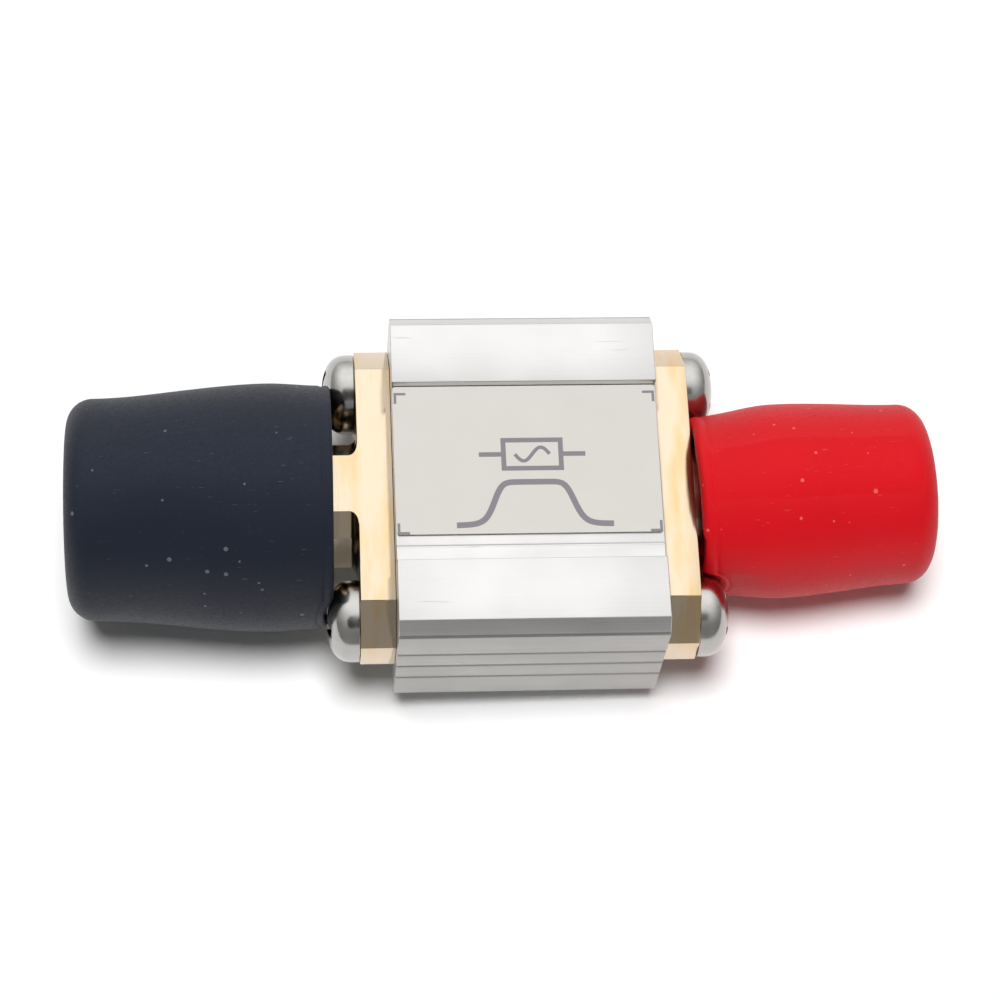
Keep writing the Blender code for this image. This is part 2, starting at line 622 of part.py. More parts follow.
def add_red_cap(end, vinyl):
    """The cap turns about the middle of the barrel until it jams."""
    pivot = add_empty("red_cap_axis", (RED_CAP_PIVOT, 0, 0), RED_CAP_TILT, end)
    cap = turned(red_cap_outline(), FINE_STEPS, closed=True)
    place = (RED_CAP_MOUTH - RED_CAP_PIVOT, 0, 0)
    press_dents(add_piece("red_cap", cap, vinyl, pivot, place), end, vinyl)


def add_board(parent, laminate):
    length = HOUSING_LENGTH - 2 * BOARD_FIT
    width = CAVITY_WIDTH + 2 * BOARD_SLOT_DEPTH - 2 * BOARD_FIT
    section = rectangle(width, BOARD_THICKNESS, (0, BOARD_TOP - BOARD_THICKNESS / 2))
    add_piece("circuit_board", lofted([(-length / 2, section), (length / 2, section)]), laminate, parent)


def add_chip(name, size, place, turn, parent, material):
    """A surface-mounted chip with a plated band round each end."""
    length, width, height = size
    band = rectangle(width, height, (0, height / 2))
    core = rectangle(width - 2 * TERMINATION_STEP, height - 2 * TERMINATION_STEP, (0, height / 2))
    inner = length * (0.5 - TERMINATION_SHARE)
    sections = [(-length / 2, band), (-inner, band), (-inner, core), (inner, core), (inner, band)]
    sections.append((length / 2, band))
    location = (*place, BOARD_TOP + FACE_GAP)
    add_piece(name, lofted(sections), material, parent, location, (0, 0, turn))


def add_solder_joint(name, end, solder):
    """A mound of solder that wets the board and the sides and end of the contact's tail."""
    seat = BOARD_TOP + FACE_GAP
    half_width = TAIL_DIAMETER / 2 + SOLDER_SIDE
    dome = arc((0, 0), 1, 180, 0, CURVE_STEPS)
    sections = []
    for i in range(SOLDER_STEPS + 1):
        share = i / SOLDER_STEPS
        swell = SOLDER_END_SHARE + (1 - SOLDER_END_SHARE) * math.sin(math.pi * share)
        points = [(half_width * swell * y, seat + SOLDER_HEIGHT * swell * z) for y, z in dome]
        sections.append((-FACE_GAP - SOLDER_LENGTH * share, points))
    mound = add_piece(name, lofted(sections), solder, end)
    sleeve = circle(TAIL_DIAMETER / 2 + FACE_GAP, SMALL_STEPS)
    form = lofted([(CUT_MARGIN, sleeve), (-TAIL_LENGTH - FACE_GAP, sleeve)])
    combine(mound, add_piece(name + "_tail_form", form, solder, end), "DIFFERENCE")


def add_electronics(parent, materials):
    """Board, the ceramic filter, and a series capacitor and shunt inductor between it and each contact."""
    add_board(parent, materials["laminate"])
    add_chip("ceramic_filter", FILTER_CHIP_SIZE, (0, 0), 0, parent, materials["ceramic"])
    filter_end = FILTER_CHIP_SIZE[0] / 2
    solder_end = HOUSING_LENGTH / 2 - SOLDER_LENGTH
    series = (filter_end + solder_end) / 2
    for name, side in (("plug", -1), ("socket", 1)):
        place = (side * series, 0)
        shunt = (side * series, side * SHUNT_OFFSET)
        add_chip(name + "_capacitor", CAPACITOR_SIZE, place, 0, parent, materials["ceramic"])
        add_chip(name + "_inductor", INDUCTOR_SIZE, shunt, math.pi / 2, parent, materials["ferrite"])


def origin_shift():
    """Moves the housing so that the origin is half way between the two caps' outer ends."""
    plug_reach = BLACK_CAP_MOUTH + BLACK_CAP_LENGTH
    start = RED_CAP_MOUTH - RED_CAP_PIVOT
    cos = math.cos(RED_CAP_TILT)
    sin = math.sin(RED_CAP_TILT)
    socket_reach = RED_CAP_PIVOT + max((start + x) * cos + radius * sin for x, radius in red_cap_outline())
    return (plug_reach - socket_reach) / 2


def build():
    for obj in list(bpy.data.objects):
        bpy.data.objects.remove(obj)
    materials = {
        "aluminium": make_material("brushed_aluminium", "E4E3E1", 1.0, 0.32),
        "foil": make_material("label_foil", "E0DDD6", 0.0, 0.45),
        "gold": make_material("gold_plating", "E9C582", 1.0, 0.22),
        "steel": make_material("nickel_plated_steel", "B9B8B4", 1.0, 0.2),
        "bronze": make_material("spring_bronze", "B98A52", 1.0, 0.35),
        "dielectric": make_material("white_dielectric", "F1F0EC", 0.0, 0.4),
        "silicone": make_material("silicone_rubber", "B5482F", 0.0, 0.6),
        "black_vinyl": make_material("black_vinyl", "2A2D34", 0.0, 0.55),
        "red_vinyl": make_material("red_vinyl", "CC1424", 0.0, 0.5),
        "laminate": make_material("board_laminate", "2F6B3A", 0.0, 0.5),
        "ceramic": make_material("chip_ceramic", "C9B79A", 0.0, 0.5),
        "ferrite": make_material("chip_ferrite", "4A4743", 0.0, 0.5),
        "solder": make_material("tin_solder", "BFC0C2", 1.0, 0.25),
    }
    centre = add_empty("housing_centre", (origin_shift(), 0, 0))
    plug_end = add_empty("plug_end", (-HOUSING_LENGTH / 2, 0, 0), math.pi, centre)
    socket_end = add_empty("socket_end", (HOUSING_LENGTH / 2, 0, 0), 0, centre)

    add_housing(centre, materials["aluminium"])
    add_label(centre, materials["foil"])
    add_electronics(centre, materials)

    add_plug_body(plug_end, materials["gold"])
    add_piece("plug_dielectric", dielectric(FERRULE_FRONT), materials["dielectric"], plug_end)
    add_plug_contact(plug_end, materials["gold"])
    add_retaining_ring(plug_end, materials["bronze"])
    add_gasket(plug_end, materials["silicone"])
    add_solder_joint("plug_solder_joint", plug_end, materials["solder"])
    add_coupling_nut(plug_end, materials["gold"])
    add_black_cap(plug_end, materials["black_vinyl"])

    add_socket_body(socket_end, materials["gold"])
    add_piece("socket_dielectric", dielectric(SOCKET_FACE), materials["dielectric"], socket_end)
    add_socket_contact(socket_end, materials["gold"])
    add_solder_joint("socket_solder_joint", socket_end, materials["solder"])
    add_red_cap(socket_end, materials["red_vinyl"])

    add_screw("plug_far", plug_end, -1, materials["steel"])
    add_screw("plug_near", plug_end, 1, materials["steel"])
    add_screw("socket_far", socket_end, 1, materials["steel"])
    add_screw("socket_near", socket_end, -1, materials["steel"])


build()
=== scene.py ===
"""Dresses the bandpass filter: real finishes, fine threads, eased edges, soft caps, printed label, studio."""
import math

import bmesh
import bpy
from mathutils import Euler, Matrix, Vector, noise


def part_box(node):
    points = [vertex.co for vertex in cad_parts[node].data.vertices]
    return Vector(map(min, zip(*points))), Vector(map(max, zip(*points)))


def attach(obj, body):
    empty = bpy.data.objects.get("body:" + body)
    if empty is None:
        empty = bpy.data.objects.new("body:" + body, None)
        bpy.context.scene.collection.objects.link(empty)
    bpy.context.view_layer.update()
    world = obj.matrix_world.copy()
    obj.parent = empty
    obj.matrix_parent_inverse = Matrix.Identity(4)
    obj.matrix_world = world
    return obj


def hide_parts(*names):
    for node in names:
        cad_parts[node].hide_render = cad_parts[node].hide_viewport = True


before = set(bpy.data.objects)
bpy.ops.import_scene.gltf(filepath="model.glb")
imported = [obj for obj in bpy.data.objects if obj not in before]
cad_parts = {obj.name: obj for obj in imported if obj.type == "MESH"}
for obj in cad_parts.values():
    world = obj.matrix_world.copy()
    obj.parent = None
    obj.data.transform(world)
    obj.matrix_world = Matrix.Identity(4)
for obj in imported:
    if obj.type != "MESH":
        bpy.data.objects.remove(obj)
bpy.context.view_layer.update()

# Shapes below are built in millimetres and scaled to metres once
MM = 0.001


def box_mm(node):
    """Lowest and highest corner of a solid, in millimetres."""
    low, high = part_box(node)
    return low / MM, high / MM


# Places that the solids' boxes give
HOUSING_LOW, HOUSING_HIGH = box_mm("housing")
LABEL_LOW, LABEL_HIGH = box_mm("label")
PLUG_LOW, PLUG_HIGH = box_mm("plug_body")
SOCKET_HIGH = box_mm("socket_body")[1]
NUT_LOW, NUT_HIGH = box_mm("coupling_nut")
RING_LOW, RING_HIGH = box_mm("retaining_ring")
GASKET_LOW, GASKET_HIGH = box_mm("plug_gasket")
PIN_LOW = box_mm("plug_pin")[0]

# Flanges
FACE_GAP = 0.02
FLANGE_THICKNESS = 1.7
FLANGE_CHAMFER = 1.8
FLANGE_EDGE = 0.05
SCREW_SPACING = 12.2
SCREW_HOLE_RADIUS = 1.1

# Neck and barrels
NECK_WIDTH = 5.0
NECK_FLAT = 2.96
NECK_LENGTH = 1.7
NECK_FILLET = 0.45
PLUG_BARREL_RADIUS = 2.5
PLUG_BARREL_LENGTH = 2.9
FERRULE_RADIUS = 2.3
DIELECTRIC_RADIUS = 2.05
GROOVE_FLOOR_RADIUS = 2.25
GROOVE_MARGIN = 0.06
SOCKET_RELIEF_RADIUS = 2.725
SOCKET_RELIEF_LENGTH = 0.8
SOCKET_FACE_DEPTH = 1.9
RIM_CHAMFER = 0.1

# Quarter inch thread, 36 to the inch
THREAD_RADIUS = 3.175
THREAD_DEPTH = 0.4
THREAD_PITCH = 25.4 / 36
THREAD_FADE = 0.35

# Coupling nut
NUT_FLATS = 8.0
NUT_CHAMFER = 0.4
NUT_COLLAR = 0.8
NUT_GROOVE_LENGTH = 0.65
NUT_GROOVE_RADIUS = 2.97
NUT_COLLAR_RADIUS = 2.56
NUT_ENTRY_CHAMFER = 0.3
RING_OPENING = 1.2

# Contacts and dielectrics
CONTACT_RADIUS = 0.635
PIN_RADIUS = 0.455
PIN_TIP_LENGTH = 0.5
PIN_TIP_RADIUS = 0.2
TAIL_RADIUS = 0.38
TAIL_LENGTH = 1.4
BACK_WALL = 0.8
CONTACT_HOLE_DEPTH = 3.0
SLIT_LENGTH = 2.5
SLIT_WIDTH = 0.16
TURNED_EDGE = 0.04

# Screws: the M2 pan head, its cross recess, and each screw's end, side and turn in degrees
HEAD_RADIUS = 2.0
HEAD_HEIGHT = 1.58
HEAD_SIDE = 0.3
PAN_CURVE = 0.8
SHANK_RADIUS = 0.97
SCREW_LENGTH = 5.0
SCREW_PITCH = 0.4
SCREW_THREAD_DEPTH = 0.22
RECESS_SPAN = 3.0
RECESS_SLOT = 0.55
RECESS_DEPTH = 0.95
RECESS_TAPER = 0.45
SCREWS = {
    "flange_screw_plug_far": ("plug", -1, 36.0),
    "flange_screw_plug_near": ("plug", 1, 41.0),
    "flange_screw_socket_far": ("socket", 1, 65.0),
    "flange_screw_socket_near": ("socket", -1, 58.0),
}

# Caps: walls at the mouth, belly and tip, the even bore's depth (grip), the belly's distance from the
# closed end, and how much narrower the bore is at that end (taper)
BLACK_CAP = {
    "lip": 0.22, "length": 13.0, "bore": 4.6988, "grip": 7.58, "walls": (1.28, 1.42, 1.14), "end_wall": 1.1,
    "belly": 10.0, "taper": 0.38, "corner": 1.3,
}
RED_CAP = {
    "lip": 0.4, "length": 11.8, "bore": 3.492, "grip": 8.955, "walls": (0.95, 1.34, 1.1), "end_wall": 0.78,
    "belly": 7.6, "taper": 0.1, "corner": 1.2,
}
BLACK_CAP_MOUTH = 2.99
RED_CAP_MOUTH = 1.9647
RED_CAP_PIVOT = 6.32
RED_CAP_TILT = math.radians(2.9)
CAP_DOME = 0.12
LIP_LINE = 0.22
LIP_WIDTH = 0.1
LIP_DIP = 0.05
CAP_INNER_CORNER = 0.5
DENT_GAP = 0.05
DENT_SHOULDER = 0.3
DENT_REACH = 3.2
BULGE = 0.13
BULGE_START = 2.5
BULGE_FULL = 3.3
BULGE_TURN = math.radians(13)
BULGE_CLEAR = 0.1
LUMP_SCALE = 0.25
LUMP_HEIGHT = 0.03

# Housing's worn edges, and how far from the middle its flanks start, which are painted darker as shade
HOUSING_EDGE = 0.05
FLANK_SHADE_START = 8.37

# Table under the two caps: its reach is in metres
FLOOR_CONTACT = (-10.8, 0, -6.115)
FLOOR_TILT = math.radians(2.87)
FLOOR_REACH = 1.5
FLOOR_GLOW = 0.03

# Camera fitted to the photo, with its turn in degrees
CAMERA_LENS = 116.02
SENSOR_WIDTH = 36.0
NEAREST_VIEW = 0.01
CAMERA_PLACE = (-12.023, -63.467, 146.172)
CAMERA_TURN = (23.6551, -3.6609, -2.3914)

# Studio: the tent's brightest direction, how its brightness climbs towards it, and the dark lens in it
TENT_TOP = (0, 0.5, 0.866)
TENT_SPAN = (-0.2, 0.95)
TENT_CURVE = 3.0
TENT_LEVELS = (0.31, 1.6)
LENS_TOWARD = (-0.09, -0.40, 0.912)
LENS_REACH = math.radians(19)
LENS_CORE = 0.8
LENS_SHADE = 0.14

# Soft boxes: centre and width in metres, and the brightness that each gives the table
KEY_LIGHT = ((-0.22, -0.12, 3.0), 1.3, 1.07)
FILL_LIGHT = ((0, -0.1, 0.8), 2.0, 0.07)

# Label and print: insets from its ends, far edge and near edge, spread at its near and far edge, shift
# of the print along X, and of the curve and the sign across
LABEL_CORNER = 0.15
INK_THICKNESS = 0.008
CURVE_STROKE = 0.3
SIGN_STROKE = 0.24
WAVE_STROKE = 0.18
TICK_STROKE = 0.13
TICK_LENGTH = 0.52
TICK_INSETS = (0.11, 0.26, -0.05)
LABEL_SPREAD = (0.12, 0.13)
PRINT_SHIFT = (0.25, -2.35, 0.25)
CURVE_POINTS = 60
CURVE_SIZE = (7.6, 2.25)
BAND_SHARE = 0.52
BAND_ORDER = 9
WAVE_SIZE = (1.7, 0.72)
BOX_SIZE = (2.8, 1.5)
LEAD_REACH = 2.6

# Steps round a turn, and the distance that welds two points
SMOOTH_STEPS = 192
ROUND_STEPS = 96
SCREW_STEPS = 64
FILLET_STEPS = 10
WELD = 1e-5

# Places along X from an end of the housing, and how far joined and cut forms reach past each other
FLANGE_FACE = FACE_GAP + FLANGE_THICKNESS
HEAD_SEAT = FLANGE_FACE + FACE_GAP
NECK_END = FLANGE_FACE + NECK_LENGTH
SHOULDER = NECK_END + PLUG_BARREL_LENGTH
FERRULE_FRONT = HOUSING_LOW.x - PLUG_LOW.x
SOCKET_FRONT = SOCKET_HIGH.x - HOUSING_HIGH.x
SOCKET_FACE = SOCKET_FRONT - SOCKET_FACE_DEPTH
CUT = 0.3


def linear(code):
    """Turns an sRGB hex code into linear RGBA."""
    channels = [int(code[i:i + 2], 16) / 255 for i in (0, 2, 4)]
    return (*[c / 12.92 if c <= 0.04045 else ((c + 0.055) / 1.055) ** 2.4 for c in channels], 1.0)


def add_node(tree, kind, inputs=(), **settings):
    """Adds a node with its settings. Each input is a value, or the socket that feeds it."""
    node = tree.nodes.new(kind)
    for name, value in settings.items():
        setattr(node, name, value)
    for key, value in dict(inputs).items():
        if isinstance(value, bpy.types.NodeSocket):
            tree.links.new(value, node.inputs[key])
        else:
            node.inputs[key].default_value = value
    return node


def start_material(name):
    """An empty node tree with its shader, its output and coordinates in metres."""
    material = bpy.data.materials.new(name)
    material.use_nodes = True
    tree = material.node_tree
    tree.nodes.clear()
    shader = add_node(tree, "ShaderNodeBsdfPrincipled")
    add_node(tree, "ShaderNodeOutputMaterial", {"Surface": shader.outputs["BSDF"]})
    place = add_node(tree, "ShaderNodeTexCoord").outputs["Object"]
    return material, tree, shader, place


def feed_shader(tree, shader, colour, rough, bump):
    """Links a shader to the nodes that give its colour, roughness and relief."""
    tree.links.new(colour.outputs["Result"], shader.inputs["Base Color"])
    tree.links.new(rough.outputs["Result"], shader.inputs["Roughness"])
    tree.links.new(bump.outputs["Normal"], shader.inputs["Normal"])


def per_mm(size):
    """Texture scale that gives a pattern this size, in millimetres, on coordinates in metres."""
    return 1 / (size * MM)


def extruded_aluminium():
    """Extruded, brushed along its length: near-white, fine streaks, satin glare, and flanks painted darker as
    shade.
    """
    material, tree, shader, place = start_material("extruded_brushed_aluminium")
    stretch = add_node(tree, "ShaderNodeMapping", {
        "Vector": place, "Scale": (per_mm(9.0), per_mm(0.09), per_mm(0.09))})
    streaks = add_node(tree, "ShaderNodeTexNoise", {
        "Vector": stretch.outputs["Vector"], "Scale": 1.0, "Detail": 4.0, "Roughness": 0.62})
    patches = add_node(tree, "ShaderNodeTexNoise", {"Vector": place, "Scale": per_mm(3.5), "Detail": 2.0})
    long_cuts = add_node(tree, "ShaderNodeMapping", {
        "Vector": place, "Scale": (per_mm(2.6), per_mm(0.13), per_mm(0.13))})
    cuts = add_node(tree, "ShaderNodeTexNoise", {
        "Vector": long_cuts.outputs["Vector"], "Scale": 1.0, "Detail": 1.0})
    scratch = add_node(tree, "ShaderNodeMapRange", {
        "Value": cuts.outputs["Fac"], "From Min": 0.74, "From Max": 0.82})
    tone = add_node(tree, "ShaderNodeMapRange", {
        "Value": streaks.outputs["Fac"], "From Min": 0.3, "From Max": 0.7, "To Min": 0.0, "To Max": 1.0})
    shade = add_node(tree, "ShaderNodeMix", {
        "Factor": tone.outputs["Result"], "A": linear("CECDCC"), "B": linear("D5D4D2")}, data_type="RGBA")
    worn = add_node(tree, "ShaderNodeMix", {
        "Factor": scratch.outputs["Result"], "A": shade.outputs["Result"], "B": linear("BAB9B8")},
        data_type="RGBA")
    # Painted shade: beyond the flank's start the colour turns darker, standing in for the shadowed table that
    # the flanks reflect
    across = add_node(tree, "ShaderNodeSeparateXYZ", {"Vector": place})
    reach = add_node(tree, "ShaderNodeMath", {0: across.outputs["Y"]}, operation="ABSOLUTE")
    flank_shade = add_node(tree, "ShaderNodeMath", {
        0: reach.outputs["Value"], 1: FLANK_SHADE_START * MM}, operation="GREATER_THAN")
    coat_and_flank_shade = add_node(tree, "ShaderNodeMix", {
        "Factor": flank_shade.outputs["Value"], "A": worn.outputs["Result"], "B": linear("A5A3A0")},
        data_type="RGBA")
    blur = add_node(tree, "ShaderNodeMath", {
        0: streaks.outputs["Fac"], 1: patches.outputs["Fac"]}, operation="ADD")
    rough = add_node(tree, "ShaderNodeMapRange", {
        "Value": blur.outputs["Value"], "From Min": 0.7, "From Max": 1.3, "To Min": 0.26, "To Max": 0.42})
    grain = add_node(tree, "ShaderNodeBump", {
        "Height": streaks.outputs["Fac"], "Strength": 0.35, "Distance": 0.01 * MM})
    cut = add_node(tree, "ShaderNodeBump", {
        "Height": scratch.outputs["Result"], "Normal": grain.outputs["Normal"], "Strength": 0.4,
        "Distance": 0.008 * MM}, invert=True)
    feed_shader(tree, shader, coat_and_flank_shade, rough, cut)
    shader.inputs["Metallic"].default_value = 1.0
    return material


def gold_plated_brass(name, lay, rough_low, rough_high):
    """Gold over machined brass: pale and glossy, with faint tool marks along lay and warmer patches."""
    material, tree, shader, place = start_material(name)
    stretch = add_node(tree, "ShaderNodeMapping", {
        "Vector": place, "Scale": [per_mm(size) for size in lay]})
    marks = add_node(tree, "ShaderNodeTexNoise", {
        "Vector": stretch.outputs["Vector"], "Scale": 1.0, "Detail": 3.0, "Roughness": 0.55})
    drift = add_node(tree, "ShaderNodeMapping", {
        "Vector": place, "Scale": (per_mm(1.0), per_mm(4.5), per_mm(4.5))})
    patches = add_node(tree, "ShaderNodeTexNoise", {
        "Vector": drift.outputs["Vector"], "Scale": 1.0, "Detail": 3.0})
    warm = add_node(tree, "ShaderNodeMapRange", {
        "Value": patches.outputs["Fac"], "From Min": 0.48, "From Max": 0.68, "To Min": 0.0, "To Max": 0.8})
    shade = add_node(tree, "ShaderNodeMix", {
        "Factor": warm.outputs["Result"], "A": linear("D6C4AB"), "B": linear("D6B480")}, data_type="RGBA")
    rough = add_node(tree, "ShaderNodeMapRange", {
        "Value": marks.outputs["Fac"], "From Min": 0.3, "From Max": 0.7, "To Min": rough_low,
        "To Max": rough_high})
    wave = add_node(tree, "ShaderNodeBump", {
        "Height": patches.outputs["Fac"], "Strength": 0.25, "Distance": 0.03 * MM})
    tooling = add_node(tree, "ShaderNodeBump", {
        "Height": marks.outputs["Fac"], "Normal": wave.outputs["Normal"], "Strength": 0.25,
        "Distance": 0.006 * MM})
    feed_shader(tree, shader, shade, rough, tooling)
    shader.inputs["Metallic"].default_value = 1.0
    return material


def nickel_plated_steel():
    """Tumbled and nickel plated: bright grey with a few tiny pits and handling marks."""
    material, tree, shader, place = start_material("nickel_plated_steel")
    marks = add_node(tree, "ShaderNodeTexNoise", {"Vector": place, "Scale": per_mm(0.5), "Detail": 4.0})
    pits = add_node(tree, "ShaderNodeTexVoronoi", {"Vector": place, "Scale": per_mm(0.28)})
    pit = add_node(tree, "ShaderNodeMapRange", {
        "Value": pits.outputs["Distance"], "From Min": 0.08, "From Max": 0.16})
    shade = add_node(tree, "ShaderNodeMix", {
        "Factor": marks.outputs["Fac"], "A": linear("A6A4A1"), "B": linear("C2C0BC")}, data_type="RGBA")
    rough = add_node(tree, "ShaderNodeMapRange", {
        "Value": marks.outputs["Fac"], "From Min": 0.3, "From Max": 0.7, "To Min": 0.12, "To Max": 0.26})
    bump = add_node(tree, "ShaderNodeBump", {
        "Height": pit.outputs["Result"], "Strength": 0.2, "Distance": 0.01 * MM})
    feed_shader(tree, shader, shade, rough, bump)
    shader.inputs["Metallic"].default_value = 1.0
    return material


def dipped_vinyl(name, body, deep, dust, specular):
    """Dip-moulded vinyl: a soft matte skin with a faint pebble, dust specks and short scuffs."""
    material, tree, shader, place = start_material(name)
    cloud = add_node(tree, "ShaderNodeTexNoise", {"Vector": place, "Scale": per_mm(4.0), "Detail": 3.0})
    pebble = add_node(tree, "ShaderNodeTexNoise", {"Vector": place, "Scale": per_mm(0.16), "Detail": 3.0})
    specks = add_node(tree, "ShaderNodeTexVoronoi", {"Vector": place, "Scale": per_mm(0.9)})
    chosen = add_node(tree, "ShaderNodeSeparateColor", {"Color": specks.outputs["Color"]})
    size = add_node(tree, "ShaderNodeMapRange", {
        "Value": chosen.outputs["Red"], "From Min": 0.3, "From Max": 1.0, "To Min": 0.0, "To Max": 0.13})
    speck = add_node(tree, "ShaderNodeMath", {
        0: specks.outputs["Distance"], 1: size.outputs["Result"]}, operation="LESS_THAN")
    stretch = add_node(tree, "ShaderNodeMapping", {
        "Vector": place, "Rotation": (0.4, 0.9, 0.5), "Scale": (per_mm(0.8), per_mm(0.07), per_mm(0.07))})
    lines = add_node(tree, "ShaderNodeTexNoise", {"Vector": stretch.outputs["Vector"], "Scale": 1.0})
    scuff = add_node(tree, "ShaderNodeMapRange", {
        "Value": lines.outputs["Fac"], "From Min": 0.71, "From Max": 0.78, "To Min": 0.0, "To Max": 0.7})
    mark = add_node(tree, "ShaderNodeMath", {
        0: speck.outputs["Value"], 1: scuff.outputs["Result"]}, operation="MAXIMUM")
    skin = add_node(tree, "ShaderNodeMix", {
        "Factor": cloud.outputs["Fac"], "A": linear(deep), "B": linear(body)}, data_type="RGBA")
    dusty = add_node(tree, "ShaderNodeMath", {0: mark.outputs["Value"], 1: 0.4}, operation="MULTIPLY")
    shade = add_node(tree, "ShaderNodeMix", {
        "Factor": dusty.outputs["Value"], "A": skin.outputs["Result"], "B": linear(dust)},
        data_type="RGBA")
    rough = add_node(tree, "ShaderNodeMapRange", {
        "Value": pebble.outputs["Fac"], "From Min": 0.3, "From Max": 0.7, "To Min": 0.46, "To Max": 0.6})
    wave = add_node(tree, "ShaderNodeBump", {
        "Height": cloud.outputs["Fac"], "Strength": 0.3, "Distance": 0.1 * MM})
    skin_bump = add_node(tree, "ShaderNodeBump", {
        "Height": pebble.outputs["Fac"], "Normal": wave.outputs["Normal"], "Strength": 0.3,
        "Distance": 0.012 * MM})
    raised = add_node(tree, "ShaderNodeBump", {
        "Height": speck.outputs["Value"], "Normal": skin_bump.outputs["Normal"], "Strength": 0.4,
        "Distance": 0.01 * MM})
    feed_shader(tree, shader, shade, rough, raised)
    shader.inputs["Specular IOR Level"].default_value = specular
    shader.inputs["IOR"].default_value = 1.53
    return material


def label_film():
    """Printed polyester film: warm pale grey, satin, with a faint mottle and paper-fine tooth."""
    material, tree, shader, place = start_material("polyester_label_film")
    mottle = add_node(tree, "ShaderNodeTexNoise", {"Vector": place, "Scale": per_mm(2.4), "Detail": 4.0})
    tooth = add_node(tree, "ShaderNodeTexNoise", {"Vector": place, "Scale": per_mm(0.05), "Detail": 2.0})
    shade = add_node(tree, "ShaderNodeMix", {
        "Factor": mottle.outputs["Fac"], "A": linear("CBC8C2"), "B": linear("D1CEC8")}, data_type="RGBA")
    rough = add_node(tree, "ShaderNodeMapRange", {
        "Value": tooth.outputs["Fac"], "From Min": 0.3, "From Max": 0.7, "To Min": 0.42, "To Max": 0.56})
    bump = add_node(tree, "ShaderNodeBump", {
        "Height": tooth.outputs["Fac"], "Strength": 0.2, "Distance": 0.004 * MM})
    feed_shader(tree, shader, shade, rough, bump)
    return material


def mottled(name, dark, light, size, roughness, metallic=0.0):
    """A moulded, fired or bare surface: two close tones in soft mottles, with a fine tooth."""
    material, tree, shader, place = start_material(name)
    mottle = add_node(tree, "ShaderNodeTexNoise", {"Vector": place, "Scale": per_mm(size), "Detail": 4.0})
    shade = add_node(tree, "ShaderNodeMix", {
        "Factor": mottle.outputs["Fac"], "A": linear(dark), "B": linear(light)}, data_type="RGBA")
    rough = add_node(tree, "ShaderNodeMapRange", {
        "Value": mottle.outputs["Fac"], "From Min": 0.3, "From Max": 0.7, "To Min": roughness - 0.06,
        "To Max": roughness + 0.06})
    bump = add_node(tree, "ShaderNodeBump", {
        "Height": mottle.outputs["Fac"], "Strength": 0.15, "Distance": 0.01 * MM})
    feed_shader(tree, shader, shade, rough, bump)
    shader.inputs["Metallic"].default_value = metallic
    return material


def end_place(end):
    """Frame at one end of the housing in metres, with +X pointing outwards."""
    if end == "plug":
        return Matrix.Translation((HOUSING_LOW.x * MM, 0, 0)) @ Matrix.Rotation(math.pi, 4, "Z")
    return Matrix.Translation((HOUSING_HIGH.x * MM, 0, 0))


def add_piece(name, bm, material, body, replaces=(), place=Matrix.Identity(4), sharp=32):
    """Makes a piece in metres from a millimetre bmesh, smooth where its faces meet gently."""
    bmesh.ops.recalc_face_normals(bm, faces=bm.faces)
    mesh = bpy.data.meshes.new(name)
    bm.to_mesh(mesh)
    bm.free()
    mesh.transform(place @ Matrix.Scale(MM, 4))
    mesh.shade_smooth()
    mesh.set_sharp_from_angle(angle=math.radians(sharp))
    mesh.materials.append(material)
    piece = bpy.data.objects.new(name, mesh)
    bpy.context.scene.collection.objects.link(piece)
    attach(piece, body)
    if replaces:
        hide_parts(*replaces)
    return piece


def combined(base, form, operation):
    """Joins or cuts one bmesh with another by the exact solver."""
    helpers = []
    for bm in (base, form):
        bmesh.ops.recalc_face_normals(bm, faces=bm.faces)
        mesh = bpy.data.meshes.new("helper")
        bm.to_mesh(mesh)
        bm.free()
        helper = bpy.data.objects.new("helper", mesh)
        bpy.context.scene.collection.objects.link(helper)
        helpers.append(helper)
    modifier = helpers[0].modifiers.new("combine", "BOOLEAN")
    modifier.operation = operation
    modifier.object = helpers[1]
    result = bmesh.new()
    result.from_object(helpers[0], bpy.context.evaluated_depsgraph_get())
    for helper in helpers:
        bpy.data.objects.remove(helper)
    return result


def circle(radius, steps, centre=(0, 0)):
    """Points of a circle in (Y, Z), starting at the top."""
    angles = [math.tau * i / steps for i in range(steps)]
    return [(centre[0] + radius * math.sin(a), centre[1] + radius * math.cos(a)) for a in angles]


def arc(centre, radius, start, end, steps):
    """Points of an arc, with its angles in degrees from the first axis towards the second."""
    angles = [math.radians(start + (end - start) * i / steps) for i in range(steps + 1)]
    return [(centre[0] + radius * math.cos(a), centre[1] + radius * math.sin(a)) for a in angles]


def mirrored(quarter):
    """Completes an outline from its +Y +Z quarter, which runs from the top to the side."""
    side = quarter + [(y, -z) for y, z in reversed(quarter) if z > 0]
    return side + [(-y, z) for y, z in reversed(side) if y > 0]


def extruded(loops, start, length):
    """Fills (Y, Z) loops, an outline and its holes, and extrudes them along X."""
    bm = bmesh.new()
    edges = []
    for loop in loops:
        verts = [bm.verts.new((start, y, z)) for y, z in loop]
        edges += [bm.edges.new((verts[i - 1], verts[i])) for i in range(len(verts))]
    fill = bmesh.ops.triangle_fill(bm, use_beauty=True, edges=edges, normal=(1, 0, 0))
    faces = [item for item in fill["geom"] if isinstance(item, bmesh.types.BMFace)]
    region = bmesh.ops.extrude_face_region(bm, geom=faces)
    moved = [item for item in region["geom"] if isinstance(item, bmesh.types.BMVert)]
    bmesh.ops.translate(bm, verts=moved, vec=(length, 0, 0))
    return bm


